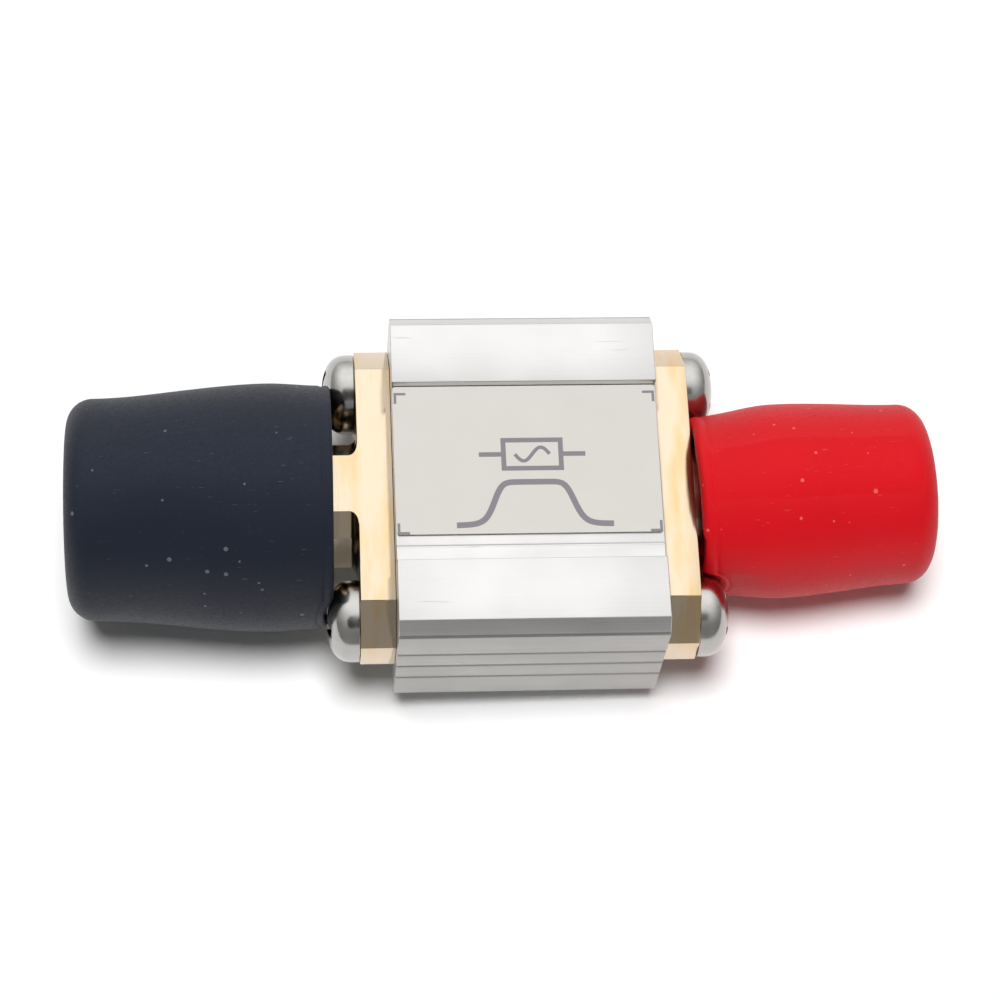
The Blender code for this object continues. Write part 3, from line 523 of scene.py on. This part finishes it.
def lofted(sections):
    """Joins sections of equally many (Y, Z) points, each at its own X, and closes both ends."""
    bm = bmesh.new()
    rings = [[bm.verts.new((x, y, z)) for y, z in points] for x, points in sections]
    for ring, following in zip(rings, rings[1:]):
        for i in range(len(ring)):
            bm.faces.new((ring[i - 1], ring[i], following[i], following[i - 1]))
    bm.faces.new(rings[0])
    bm.faces.new(rings[-1])
    return bm


def turned(outline, steps, closed=False, bm=None):
    """Spins (X, radius) points about X, and adds them to a bmesh if one is given."""
    bm = bm or bmesh.new()
    verts = [bm.verts.new((x, 0, radius)) for x, radius in outline]
    edges = [bm.edges.new(pair) for pair in zip(verts, verts[1:])]
    if closed:
        edges.append(bm.edges.new((verts[-1], verts[0])))
    bmesh.ops.spin(bm, geom=verts + edges, cent=(0, 0, 0), axis=(1, 0, 0), angle=math.tau, steps=steps)
    bmesh.ops.remove_doubles(bm, verts=bm.verts, dist=WELD)
    return bm


# Shares of a pitch where the thread's flanks start and end, with the ridge's height there
THREAD_FORM = ((0.0, 0.0), (0.1, 0.0), (0.42, 1.0), (0.58, 1.0), (0.9, 0.0))


def add_thread(bm, root, depth, pitch, start, end, steps):
    """Adds a right-hand thread's surface between two places along X. Its rows follow the helix."""
    rows = (math.ceil((end - start) / pitch) + 2) * len(THREAD_FORM)
    columns = []
    for j in range(steps + 1):
        angle = -math.tau * j / steps
        column = []
        for i in range(rows):
            phase, height = THREAD_FORM[i % len(THREAD_FORM)]
            x = start + pitch * (i // len(THREAD_FORM) + phase + j / steps - 1)
            x = min(max(x, start), end)
            fade = min(1, (x - start) / THREAD_FADE, (end - x) / THREAD_FADE)
            radius = root + depth * height * fade
            column.append(bm.verts.new((x, radius * math.sin(angle), radius * math.cos(angle))))
        columns.append(column)
    for column, following in zip(columns, columns[1:]):
        for i in range(rows - 1):
            bm.faces.new((column[i], column[i + 1], following[i + 1], following[i]))
    bmesh.ops.remove_doubles(bm, verts=bm.verts, dist=WELD)


def threaded(before, after, root, depth, pitch, start, end, steps):
    """A turned solid with a thread between two places along X."""
    bm = turned(before + [(start, root)], steps)
    turned([(end, root)] + after, steps, bm=bm)
    add_thread(bm, root, depth, pitch, start, end, steps)
    return bm


def ease_edges(bm, offset, angle, segments=2):
    """Breaks every edge that is sharper than the angle, as deburring does."""
    bmesh.ops.dissolve_limit(bm, angle_limit=math.radians(0.5), verts=bm.verts, edges=bm.edges)
    sharp = [edge for edge in bm.edges if edge.calc_face_angle(0) > math.radians(angle)]
    bmesh.ops.bevel(bm, geom=sharp, offset=offset, segments=segments, affect="EDGES", profile=0.5,
                    clamp_overlap=True)


def solid_copy(node):
    """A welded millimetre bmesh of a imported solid."""
    bm = bmesh.new()
    bm.from_mesh(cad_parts[node].data)
    bmesh.ops.scale(bm, vec=(1 / MM,) * 3, verts=bm.verts)
    bmesh.ops.remove_doubles(bm, verts=bm.verts, dist=WELD)
    return bm


def add_housing(aluminium):
    """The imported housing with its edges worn."""
    housing = solid_copy("housing")
    ease_edges(housing, HOUSING_EDGE, 20)
    add_piece("housing_shell", housing, aluminium, "filter_body", ["housing"])


def flange():
    """Elongated octagon with two screw holes and deburred edges."""
    half_width = PLUG_HIGH.y
    half_height = PLUG_HIGH.z
    quarter = [(half_width - FLANGE_CHAMFER, half_height), (half_width, half_height - FLANGE_CHAMFER)]
    loops = [mirrored(quarter)]
    loops += [circle(SCREW_HOLE_RADIUS, SCREW_STEPS, (side * SCREW_SPACING / 2, 0)) for side in (-1, 1)]
    bm = extruded(loops, FACE_GAP, FLANGE_THICKNESS)
    ease_edges(bm, FLANGE_EDGE, 30)
    return bm


def neck_section(growth):
    """Section of the plug's neck, flat above and below, with the other six faces grown."""
    half_height = PLUG_HIGH.z
    half_width = NECK_WIDTH / 2 + growth
    corner_sum = NECK_FLAT / 2 + half_height + growth * math.sqrt(2)
    return mirrored([(corner_sum - half_height, half_height), (half_width, corner_sum - half_width)])


def add_plug_body(gold):
    """Flange, filleted neck and grooved barrel with the ferrule, bored through."""
    sections = [(FLANGE_FACE - CUT, neck_section(NECK_FILLET))]
    for along, growth in arc((NECK_FILLET, NECK_FILLET), NECK_FILLET, 180, 270, FILLET_STEPS):
        sections.append((FLANGE_FACE + along, neck_section(growth)))
    sections.append((NECK_END, neck_section(0)))
    ring_start = HOUSING_LOW.x - RING_HIGH.x - GROOVE_MARGIN
    ring_end = HOUSING_LOW.x - RING_LOW.x + GROOVE_MARGIN
    barrel = [(NECK_END - CUT, 0), (NECK_END - CUT, PLUG_BARREL_RADIUS), (ring_start, PLUG_BARREL_RADIUS)]
    barrel += [(ring_start, GROOVE_FLOOR_RADIUS), (ring_end, GROOVE_FLOOR_RADIUS)]
    barrel += [(ring_end, PLUG_BARREL_RADIUS), (SHOULDER - TURNED_EDGE, PLUG_BARREL_RADIUS)]
    barrel += [(SHOULDER, PLUG_BARREL_RADIUS - TURNED_EDGE), (SHOULDER, FERRULE_RADIUS)]
    barrel += [(FERRULE_FRONT - TURNED_EDGE, FERRULE_RADIUS), (FERRULE_FRONT, FERRULE_RADIUS - TURNED_EDGE)]
    barrel += [(FERRULE_FRONT, 0)]
    bore = [(-CUT, 0), (-CUT, DIELECTRIC_RADIUS), (FERRULE_FRONT + CUT, DIELECTRIC_RADIUS)]
    bore += [(FERRULE_FRONT + CUT, 0)]
    body = combined(flange(), lofted(sections), "UNION")
    body = combined(body, turned(barrel, ROUND_STEPS), "UNION")
    body = combined(body, turned(bore, ROUND_STEPS), "DIFFERENCE")
    add_piece("plug_shell", body, gold, "filter_body", ["plug_body"], end_place("plug"))


def add_socket_body(gold):
    """Flange and threaded barrel, bored for the insulator and the mating ferrule."""
    root = THREAD_RADIUS - THREAD_DEPTH
    relief_end = FLANGE_FACE + SOCKET_RELIEF_LENGTH
    before = [(FLANGE_FACE - CUT, 0), (FLANGE_FACE - CUT, SOCKET_RELIEF_RADIUS)]
    before += [(relief_end, SOCKET_RELIEF_RADIUS)]
    after = [(SOCKET_FRONT - RIM_CHAMFER, root), (SOCKET_FRONT, root - RIM_CHAMFER), (SOCKET_FRONT, 0)]
    start = relief_end + root - SOCKET_RELIEF_RADIUS
    barrel = threaded(before, after, root, THREAD_DEPTH, THREAD_PITCH, start,
                      SOCKET_FRONT - 2 * RIM_CHAMFER, ROUND_STEPS)
    bore = [(-CUT, 0), (-CUT, DIELECTRIC_RADIUS), (SOCKET_FACE, DIELECTRIC_RADIUS)]
    bore += [(SOCKET_FACE, FERRULE_RADIUS), (SOCKET_FRONT - TURNED_EDGE, FERRULE_RADIUS)]
    bore += [(SOCKET_FRONT + CUT, FERRULE_RADIUS + CUT), (SOCKET_FRONT + CUT, 0)]
    body = combined(flange(), barrel, "UNION")
    body = combined(body, turned(bore, ROUND_STEPS), "DIFFERENCE")
    add_piece("socket_shell", body, gold, "filter_body", ["socket_body"],
              end_place("socket"))


def add_dielectric(end, face, ptfe):
    """Turned insulating tube with a back wall that the contact's step meets."""
    outer = DIELECTRIC_RADIUS - FACE_GAP
    contact = CONTACT_RADIUS + FACE_GAP
    tail = TAIL_RADIUS + FACE_GAP
    outline = [(FACE_GAP, tail), (FACE_GAP, outer), (face - TURNED_EDGE, outer)]
    outline += [(face, outer - TURNED_EDGE), (face, contact), (BACK_WALL, contact), (BACK_WALL, tail)]
    add_piece(end + "_insulator", turned(outline, ROUND_STEPS, closed=True), ptfe,
              "filter_body", [end + "_dielectric"], end_place(end))


def contact_root():
    """The contact's tail over the circuit board, and the step that the dielectric traps."""
    step = BACK_WALL + FACE_GAP
    return [(-TAIL_LENGTH, 0), (-TAIL_LENGTH, TAIL_RADIUS - TURNED_EDGE),
            (TURNED_EDGE - TAIL_LENGTH, TAIL_RADIUS), (step, TAIL_RADIUS), (step, CONTACT_RADIUS)]


def add_contacts(gold):
    """The plug's pointed pin, and the socket's contact with four spring fingers."""
    tip = HOUSING_LOW.x - PIN_LOW.x
    outline = contact_root() + [(FERRULE_FRONT, CONTACT_RADIUS), (FERRULE_FRONT, PIN_RADIUS)]
    outline += [(tip - PIN_TIP_LENGTH, PIN_RADIUS), (tip - TURNED_EDGE, PIN_TIP_RADIUS + TURNED_EDGE)]
    outline += [(tip, PIN_TIP_RADIUS), (tip, 0)]
    add_piece("plug_centre_pin", turned(outline, SCREW_STEPS), gold, "filter_body",
              ["plug_pin"], end_place("plug"))
    bottom = SOCKET_FACE - CONTACT_HOLE_DEPTH
    outline = contact_root() + [(SOCKET_FACE - TURNED_EDGE, CONTACT_RADIUS)]
    outline += [(SOCKET_FACE, CONTACT_RADIUS - TURNED_EDGE), (SOCKET_FACE, PIN_RADIUS)]
    outline += [(bottom, PIN_RADIUS), (bottom - PIN_RADIUS / 2, 0)]
    contact = turned(outline, SCREW_STEPS)
    for half_width, half_height in ((SLIT_WIDTH / 2, 1), (1, SLIT_WIDTH / 2)):
        slit = mirrored([(half_width, half_height)])
        slot = lofted([(SOCKET_FACE - SLIT_LENGTH, slit), (SOCKET_FRONT, slit)])
        contact = combined(contact, slot, "DIFFERENCE")
    add_piece("socket_centre_contact", contact, gold, "filter_body", ["socket_contact"],
              end_place("socket"))


def add_coupling_nut(gold):
    """Hexagon nut with turned and deburred ends, threaded in front of the ring's groove."""
    rear = HOUSING_LOW.x - NUT_HIGH.x
    length = NUT_HIGH.x - NUT_LOW.x
    corner = NUT_FLATS / math.sqrt(3)
    face = NUT_FLATS / 2
    reach = corner + CUT
    slope = (reach - face) * NUT_CHAMFER / (corner - face)
    hexagon = [(-z, y) for y, z in circle(corner, 6)]
    blank = [(0, 0), (0, face), (slope, reach), (length - slope, reach), (length, face), (length, 0)]
    cone = turned(blank, ROUND_STEPS)
    bmesh.ops.rotate(cone, verts=cone.verts, matrix=Matrix.Rotation(math.pi / ROUND_STEPS, 3, "X"))
    nut = combined(lofted([(0, hexagon), (length, hexagon)]), cone, "INTERSECT")
    minor = THREAD_RADIUS - THREAD_DEPTH
    groove_end = NUT_COLLAR + NUT_GROOVE_LENGTH
    before = [(-CUT, 0), (-CUT, NUT_COLLAR_RADIUS), (NUT_COLLAR, NUT_COLLAR_RADIUS)]
    before += [(NUT_COLLAR, NUT_GROOVE_RADIUS), (groove_end, NUT_GROOVE_RADIUS), (groove_end, minor)]
    mouth = minor + NUT_ENTRY_CHAMFER
    after = [(length - NUT_ENTRY_CHAMFER, minor), (length, mouth), (length + CUT, mouth), (length + CUT, 0)]
    bore = threaded(before, after, minor, THREAD_DEPTH, THREAD_PITCH, groove_end + CUT,
                    length - NUT_ENTRY_CHAMFER - CUT / 2, ROUND_STEPS)
    nut = combined(nut, bore, "DIFFERENCE")
    place = end_place("plug") @ Matrix.Translation((rear * MM, 0, 0))
    add_piece("hexagon_nut", nut, gold, "nut", ["coupling_nut"], place)


def add_ring_and_gasket(bronze, silicone):
    """Split ring in the barrel's groove, and the round-edged seal."""
    outer = RING_HIGH.z
    inner = GROOVE_FLOOR_RADIUS + GROOVE_MARGIN
    half_gap = math.degrees(RING_OPENING / 2 / outer)
    outline = arc((0, 0), outer, 90 + half_gap, 450 - half_gap, ROUND_STEPS)
    outline += arc((0, 0), inner, 450 - half_gap, 90 + half_gap, ROUND_STEPS)
    ring = extruded([outline], HOUSING_LOW.x - RING_HIGH.x, RING_HIGH.x - RING_LOW.x)
    add_piece("split_ring", ring, bronze, "filter_body", ["retaining_ring"],
              end_place("plug"))
    back = HOUSING_LOW.x - GASKET_HIGH.x
    front = HOUSING_LOW.x - GASKET_LOW.x
    inside = FERRULE_RADIUS + FACE_GAP
    outside = GASKET_HIGH.z
    round_off = (outside - inside) / 2
    outline = [(back, inside), (back, outside - round_off / 2), (back + round_off / 2, outside)]
    outline += [(front - round_off / 2, outside), (front, outside - round_off / 2), (front, inside)]
    add_piece("sealing_ring", turned(outline, ROUND_STEPS, closed=True), silicone,
              "filter_body", ["plug_gasket"], end_place("plug"))


def head_height(share):
    """Height of the pan head over its seat at a share of its radius."""
    angle = math.acos(min(1, share) ** (1 / PAN_CURVE))
    return HEAD_SIDE + (HEAD_HEIGHT - HEAD_SIDE) * math.sin(angle) ** PAN_CURVE


def add_screw(name, end, side, turn, steel):
    """Pan head screw with a tapered cross recess and a cut thread."""
    steps = 20
    head = [(0, SHANK_RADIUS), (0, HEAD_RADIUS - TURNED_EDGE), (TURNED_EDGE, HEAD_RADIUS)]
    for i in range(steps):
        angle = math.pi / 2 * i / steps
        radius = HEAD_RADIUS * math.cos(angle) ** PAN_CURVE
        head.append((head_height(radius / HEAD_RADIUS), radius))
    head.append((HEAD_HEIGHT, 0))
    root = SHANK_RADIUS - SCREW_THREAD_DEPTH
    tip = [(-SCREW_LENGTH, 0), (-SCREW_LENGTH, root)]
    screw = threaded(tip, [(-SCREW_PITCH, root), (-SCREW_PITCH / 2, SHANK_RADIUS)] + head, root,
                     SCREW_THREAD_DEPTH, SCREW_PITCH, SCREW_PITCH / 2 - SCREW_LENGTH, -SCREW_PITCH,
                     SCREW_STEPS)
    sections = []
    top = 1 + (1 - RECESS_TAPER) * CUT / RECESS_DEPTH
    for height, scale in ((HEAD_HEIGHT - RECESS_DEPTH, RECESS_TAPER), (HEAD_HEIGHT + CUT, top)):
        arm = RECESS_SPAN / 2 * scale
        slot = RECESS_SLOT / 2 * scale
        sections.append((height, mirrored([(slot, arm), (slot, slot), (arm, slot)])))
    screw = combined(screw, lofted(sections), "DIFFERENCE")
    place = end_place(end) @ Matrix.Translation((HEAD_SEAT * MM, side * SCREW_SPACING / 2 * MM, 0))
    place = place @ Matrix.Rotation(math.radians(turn), 4, "X")
    add_piece(name.replace("flange_", "pan_head_"), screw, steel, "filter_body",
              [name], place)


def ease(share):
    """Rises smoothly from 0 to 1."""
    return share * share * (3 - 2 * share)


def cap_outline(lip, length, bore, grip, walls, end_wall, belly, taper, corner):
    """Outline of a dipped cap from its mouth at X = 0: outside, round the end, then the inside."""
    mouth_wall, belly_wall, tip_wall = walls
    mouth, middle, tip = bore + mouth_wall, bore + belly_wall, bore - taper + tip_wall
    points = arc((lip, mouth - lip), lip, 180, 90, 8)
    rise = length - belly
    steps = 48
    for i in range(1, steps + 1):
        along = lip + (rise - lip) * i / steps
        dip = LIP_DIP * math.exp(-((along - lip - LIP_LINE) / LIP_WIDTH) ** 2)
        points.append((along, mouth + (middle - mouth) * ease(i / steps) - dip))
    steps = 24
    for i in range(1, steps):
        along = rise + (belly - corner) * i / steps
        points.append((along, middle + (tip - middle) * ease(i / steps)))
    points += arc((length - corner - CAP_DOME, tip - corner), corner, 90, 0, 16)
    for i in range(1, 8):
        share = 1 - i / 8
        points.append((length - CAP_DOME * share * share, (tip - corner) * share))
    points.append((length, 0))
    inside = length - end_wall
    points.append((inside, 0))
    points += arc((inside - CAP_INNER_CORNER, bore - taper - CAP_INNER_CORNER), CAP_INNER_CORNER, 0, 90, 8)
    steps = 10
    points += [(grip - (grip - DENT_REACH) * i / steps, bore) for i in range(steps)]
    points += [(DENT_REACH - (DENT_REACH - lip) * i / steps, bore) for i in range(steps + 1)]
    points += arc((lip, bore + lip), lip, 270, 180, 8)[1:]
    return points


def press_mouth(bm, to_end):
    """Squeezes the cap's mouth back where the screw heads press into it."""
    for vert in bm.verts:
        if vert.co.x > DENT_REACH:
            continue
        place = to_end @ vert.co
        off_axis = math.hypot(abs(place.y) - SCREW_SPACING / 2, place.z)
        shoulder = (HEAD_RADIUS + DENT_GAP + DENT_SHOULDER - off_axis) / DENT_SHOULDER
        height = head_height(off_axis / (HEAD_RADIUS + DENT_GAP))
        seat = HEAD_SEAT + DENT_GAP + height * ease(min(1, max(0, shoulder)))
        depth = seat - (to_end @ Vector((0, vert.co.y, vert.co.z))).x
        if shoulder > 0 and depth > 0:
            vert.co.x = depth + vert.co.x * (1 - depth / DENT_REACH)


def bulge_mouth(bm):
    """The mouth, held back at its sides by the screw heads, bulges forward over and under the flange."""
    for vert in bm.verts:
        if vert.co.x > DENT_REACH:
            continue
        height = abs(vert.co.z * math.cos(BULGE_TURN) - vert.co.y * math.sin(BULGE_TURN))
        share = min(1, max(0, height - BULGE_START) / (BULGE_FULL - BULGE_START))
        vert.co.x -= BULGE * share * (1 - ease(vert.co.x / DENT_REACH))
        if abs(vert.co.z) < PLUG_HIGH.z + BULGE_CLEAR:
            vert.co.x = max(vert.co.x, 0)


def add_cap(name, node, shape, to_end, end, vinyl, body):
    """A dipped cap: turned, pressed in by the screw heads, and slightly uneven outside."""
    bm = turned(cap_outline(**shape), SMOOTH_STEPS, closed=True)
    if shape is RED_CAP:
        bulge_mouth(bm)
    press_mouth(bm, to_end)
    for vert in bm.verts:
        radius = math.hypot(vert.co.y, vert.co.z)
        if radius < shape["bore"] + shape["walls"][0] / 2:
            continue
        lump = noise.noise(vert.co * LUMP_SCALE + Vector((len(node), 0, 0)))
        vert.co.yz = vert.co.yz * (1 + LUMP_HEIGHT * lump / radius)
    scaled = to_end.copy()
    scaled.translation *= MM
    add_piece(name, bm, vinyl, body, [node], end_place(end) @ scaled, sharp=60)


def add_caps(black, red):
    """The plug's straight cap, and the socket's, which sits askew."""
    to_end = Matrix.Translation((BLACK_CAP_MOUTH, 0, 0))
    add_cap("black_vinyl_cap", "black_cap", BLACK_CAP, to_end, "plug", black, "black_cap")
    to_end = Matrix.Translation((RED_CAP_PIVOT, 0, 0)) @ Matrix.Rotation(RED_CAP_TILT, 4, "Z")
    to_end = to_end @ Matrix.Translation((RED_CAP_MOUTH - RED_CAP_PIVOT, 0, 0))
    add_cap("red_vinyl_cap", "red_cap", RED_CAP, to_end, "socket", red, "red_cap")


def add_stroke(bm, points, width, seat):
    """Adds one printed line of even width through (X, Y) points, mitred where it turns."""
    points = [Vector(point) for point in points]
    closed = (points[0] - points[-1]).length < WELD
    rings = []
    for i, point in enumerate(points):
        before = points[i - 1] if i else points[-2 if closed else 0]
        after = points[i + 1] if i + 1 < len(points) else points[1 if closed else -1]
        entry = (point - before).normalized()
        leave = (after - point).normalized()
        along = (entry + leave).normalized()
        across = Vector((-along.y, along.x)) * width / 2 / max(along.dot(entry), along.dot(leave))
        ring = []
        for side, height in ((1, 0), (1, INK_THICKNESS), (-1, INK_THICKNESS), (-1, 0)):
            ring.append(bm.verts.new((point.x + side * across.x, point.y + side * across.y, seat + height)))
        rings.append(ring)
    for ring, following in zip(rings, rings[1:]):
        for i in range(4):
            bm.faces.new((ring[i - 1], ring[i], following[i], following[i - 1]))
    bm.faces.new(rings[0])
    bm.faces.new(rings[-1])


def add_label(film, ink):
    """Film with corner marks, and a filter's plain schematic sign over a band-pass curve."""
    label = solid_copy("label")
    bmesh.ops.dissolve_limit(label, angle_limit=math.radians(1), verts=label.verts, edges=label.edges)
    upright = [edge for edge in label.edges if abs(edge.verts[0].co.z - edge.verts[1].co.z) > WELD]
    bmesh.ops.bevel(label, geom=upright, offset=LABEL_CORNER, segments=4, affect="EDGES", profile=0.5)
    middle_y = (LABEL_LOW.y + LABEL_HIGH.y) / 2
    for vert in label.verts:
        vert.co.y += LABEL_SPREAD[1] if vert.co.y > middle_y else -LABEL_SPREAD[0]
    add_piece("label_sheet", label, film, "filter_body", ["label"])
    seat = LABEL_HIGH.z
    marks = bmesh.new()
    inset, far_inset, near_inset = TICK_INSETS
    for x, toward_x in ((LABEL_LOW.x + inset, 1), (LABEL_HIGH.x - inset, -1)):
        for y, toward_y in ((LABEL_HIGH.y - far_inset, -1), (LABEL_LOW.y + near_inset, 1)):
            across = (x + toward_x * TICK_LENGTH, y)
            upright = (x, y + toward_y * TICK_LENGTH)
            add_stroke(marks, [upright, (x, y), across], TICK_STROKE, seat)
    middle = Vector(((LABEL_LOW.x + LABEL_HIGH.x) / 2 + PRINT_SHIFT[0], middle_y))
    low = middle + Vector((0, PRINT_SHIFT[1]))
    shares = [2 * i / CURVE_POINTS - 1 for i in range(CURVE_POINTS + 1)]
    curve = []
    for share in shares:
        level = 1 / (1 + (abs(share) / BAND_SHARE) ** BAND_ORDER)
        curve.append(low + Vector((share * CURVE_SIZE[0] / 2, (level - 0.5) * CURVE_SIZE[1])))
    add_stroke(marks, curve, CURVE_STROKE, seat)
    high = middle + Vector((0, PRINT_SHIFT[2]))
    wave = [high + Vector((share * WAVE_SIZE[0] / 2, math.sin(math.pi * share) * WAVE_SIZE[1] / 2))
            for share in shares]
    add_stroke(marks, wave, WAVE_STROKE, seat)
    x, y = BOX_SIZE[0] / 2, BOX_SIZE[1] / 2
    box = [(0, y), (x, y), (x, -y), (-x, -y), (-x, y), (0, y)]
    add_stroke(marks, [high + Vector(point) for point in box], SIGN_STROKE, seat)
    for side in (-1, 1):
        lead = [high + Vector((side * (x + SIGN_STROKE / 2), 0)), high + Vector((side * LEAD_REACH, 0))]
        add_stroke(marks, lead, SIGN_STROKE, seat)
    add_piece("label_print", marks, ink, "filter_body")


def dress_inner_parts():
    """The board and its parts keep their solids, out of sight in the housing."""
    finishes = {
        "circuit_board": mottled("solder_masked_laminate", "1F5A2C", "2F7A40", 0.8, 0.42),
        "ceramic_filter": mottled("fired_white_ceramic", "CDBFA2", "DDD0B6", 0.2, 0.5),
        "plug_capacitor": mottled("fired_tan_ceramic", "A88B64", "BC9F77", 0.15, 0.5),
        "plug_inductor": mottled("fired_ferrite", "3B3836", "4F4B47", 0.1, 0.55),
        "plug_solder_joint": mottled("reflowed_tin", "B5B6B8", "D0D1D2", 0.3, 0.2, metallic=1.0),
    }
    finishes["socket_capacitor"] = finishes["plug_capacitor"]
    finishes["socket_inductor"] = finishes["plug_inductor"]
    finishes["socket_solder_joint"] = finishes["plug_solder_joint"]
    for node, material in finishes.items():
        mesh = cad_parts[node].data
        mesh.materials.clear()
        mesh.materials.append(material)


def add_camera():
    """The photographed view: 66 degrees above the table, a little from the left and rolled."""
    data = bpy.data.cameras.new("camera")
    data.lens = CAMERA_LENS
    data.sensor_width = SENSOR_WIDTH
    data.clip_start = NEAREST_VIEW
    camera = bpy.data.objects.new("camera", data)
    camera.location = [place * MM for place in CAMERA_PLACE]
    camera.rotation_euler = Euler([math.radians(angle) for angle in CAMERA_TURN])
    bpy.context.scene.collection.objects.link(camera)
    bpy.context.scene.camera = camera


def add_floor():
    """White table top, tilted by the nearly three degrees that stand the filter on both its caps."""
    reach = FLOOR_REACH
    mesh = bpy.data.meshes.new("floor")
    corners = [(-reach, -reach, 0), (reach, -reach, 0), (reach, reach, 0), (-reach, reach, 0)]
    mesh.from_pydata(corners, [], [(0, 1, 2, 3)])
    floor = bpy.data.objects.new("floor", mesh)
    floor.location = [place * MM for place in FLOOR_CONTACT]
    floor.rotation_euler = (0, -FLOOR_TILT, 0)
    bpy.context.scene.collection.objects.link(floor)
    material, tree, shader, place = start_material("white_table_top")
    tooth = add_node(tree, "ShaderNodeTexNoise", {"Vector": place, "Scale": per_mm(1.5), "Detail": 2.0})
    shade = add_node(tree, "ShaderNodeMix", {
        "Factor": tooth.outputs["Fac"], "A": linear("F4F4F4"), "B": linear("F8F8F8")}, data_type="RGBA")
    tree.links.new(shade.outputs["Result"], shader.inputs["Base Color"])
    shader.inputs["Roughness"].default_value = 0.7
    shader.inputs["Specular IOR Level"].default_value = 0.2
    shader.inputs["Emission Color"].default_value = (1, 1, 1, 1)
    shader.inputs["Emission Strength"].default_value = FLOOR_GLOW
    mesh.materials.append(material)


def add_panel(name, centre, width, level):
    """A round soft box, facing down, that gives a white matte surface below it the given brightness."""
    data = bpy.data.lights.new(name, "AREA")
    data.shape = "DISK"
    data.size = width
    share = width ** 2 / (width ** 2 + 4 * centre[2] ** 2)
    data.energy = level / share * (math.pi * width / 2) ** 2
    panel = bpy.data.objects.new(name, data)
    panel.location = centre
    panel.visible_camera = False
    panel.visible_glossy = False
    bpy.context.scene.collection.objects.link(panel)


def add_light():
    """Soft boxes light the matte surfaces, and a graded tent round the table shows in the metal."""
    world = bpy.data.worlds.new("studio")
    bpy.context.scene.world = world
    world.use_nodes = True
    world.cycles_visibility.diffuse = False
    tree = world.node_tree
    tree.nodes.clear()
    toward = add_node(tree, "ShaderNodeTexCoord").outputs["Generated"]
    height = add_node(tree, "ShaderNodeVectorMath", {0: toward, 1: TENT_TOP}, operation="DOT_PRODUCT")
    climb = add_node(tree, "ShaderNodeMapRange", {
        "Value": height.outputs["Value"], "From Min": TENT_SPAN[0], "From Max": TENT_SPAN[1]})
    curve = add_node(tree, "ShaderNodeMath", {0: climb.outputs["Result"], 1: TENT_CURVE}, operation="POWER")
    level = add_node(tree, "ShaderNodeMapRange", {
        "Value": curve.outputs["Value"], "To Min": TENT_LEVELS[0], "To Max": TENT_LEVELS[1]})
    off_lens = add_node(tree, "ShaderNodeVectorMath", {0: toward, 1: LENS_TOWARD}, operation="DOT_PRODUCT")
    clear = add_node(tree, "ShaderNodeMapRange", {
        "Value": off_lens.outputs["Value"], "From Min": math.cos(LENS_REACH * LENS_CORE),
        "From Max": math.cos(LENS_REACH), "To Min": LENS_SHADE, "To Max": 1.0})
    dimmed = add_node(tree, "ShaderNodeMath", {
        0: level.outputs["Result"], 1: clear.outputs["Result"]}, operation="MULTIPLY")
    tent = add_node(tree, "ShaderNodeBackground", {"Strength": dimmed.outputs["Value"]})
    sheet = add_node(tree, "ShaderNodeBackground", {"Color": (1, 1, 1, 1), "Strength": 1.0})
    seen = add_node(tree, "ShaderNodeLightPath")
    both = add_node(tree, "ShaderNodeMixShader", {
        0: seen.outputs["Is Camera Ray"], 1: tent.outputs[0], 2: sheet.outputs[0]})
    add_node(tree, "ShaderNodeOutputWorld", {"Surface": both.outputs[0]})
    tent.inputs["Color"].default_value = (1, 1, 1, 1)
    add_panel("key", *KEY_LIGHT)
    add_panel("fill", *FILL_LIGHT)
    bpy.context.scene.view_settings.view_transform = "Standard"


def main():
    gold = gold_plated_brass("gold_plated_milled_brass", (0.12, 2.5, 2.5), 0.13, 0.22)
    turned_gold = gold_plated_brass("gold_plated_turned_brass", (0.1, 3.0, 3.0), 0.12, 0.2)
    steel = nickel_plated_steel()
    ptfe = mottled("turned_fluoropolymer", "E9E8E4", "F3F2EE", 0.6, 0.38)
    add_housing(extruded_aluminium())
    add_label(label_film(), mottled("grey_thermal_ink", "78757A", "858287", 0.08, 0.5))
    add_plug_body(gold)
    add_socket_body(gold)
    add_dielectric("plug", FERRULE_FRONT, ptfe)
    add_dielectric("socket", SOCKET_FACE, ptfe)
    add_contacts(turned_gold)
    add_coupling_nut(turned_gold)
    add_ring_and_gasket(mottled("bare_spring_bronze", "A97843", "C4935A", 0.25, 0.3, metallic=1.0),
                        mottled("moulded_silicone", "A8402A", "BC5138", 0.4, 0.55))
    for name, (end, side, turn) in SCREWS.items():
        add_screw(name, end, side, turn, steel)
    black = dipped_vinyl("black_dipped_vinyl", "1C212D", "141925", "858990", 0.25)
    red = dipped_vinyl("red_dipped_vinyl", "D80B19", "C80514", "F08A84", 0.25)
    add_caps(black, red)
    dress_inner_parts()
    add_camera()
    add_floor()
    add_light()


main()
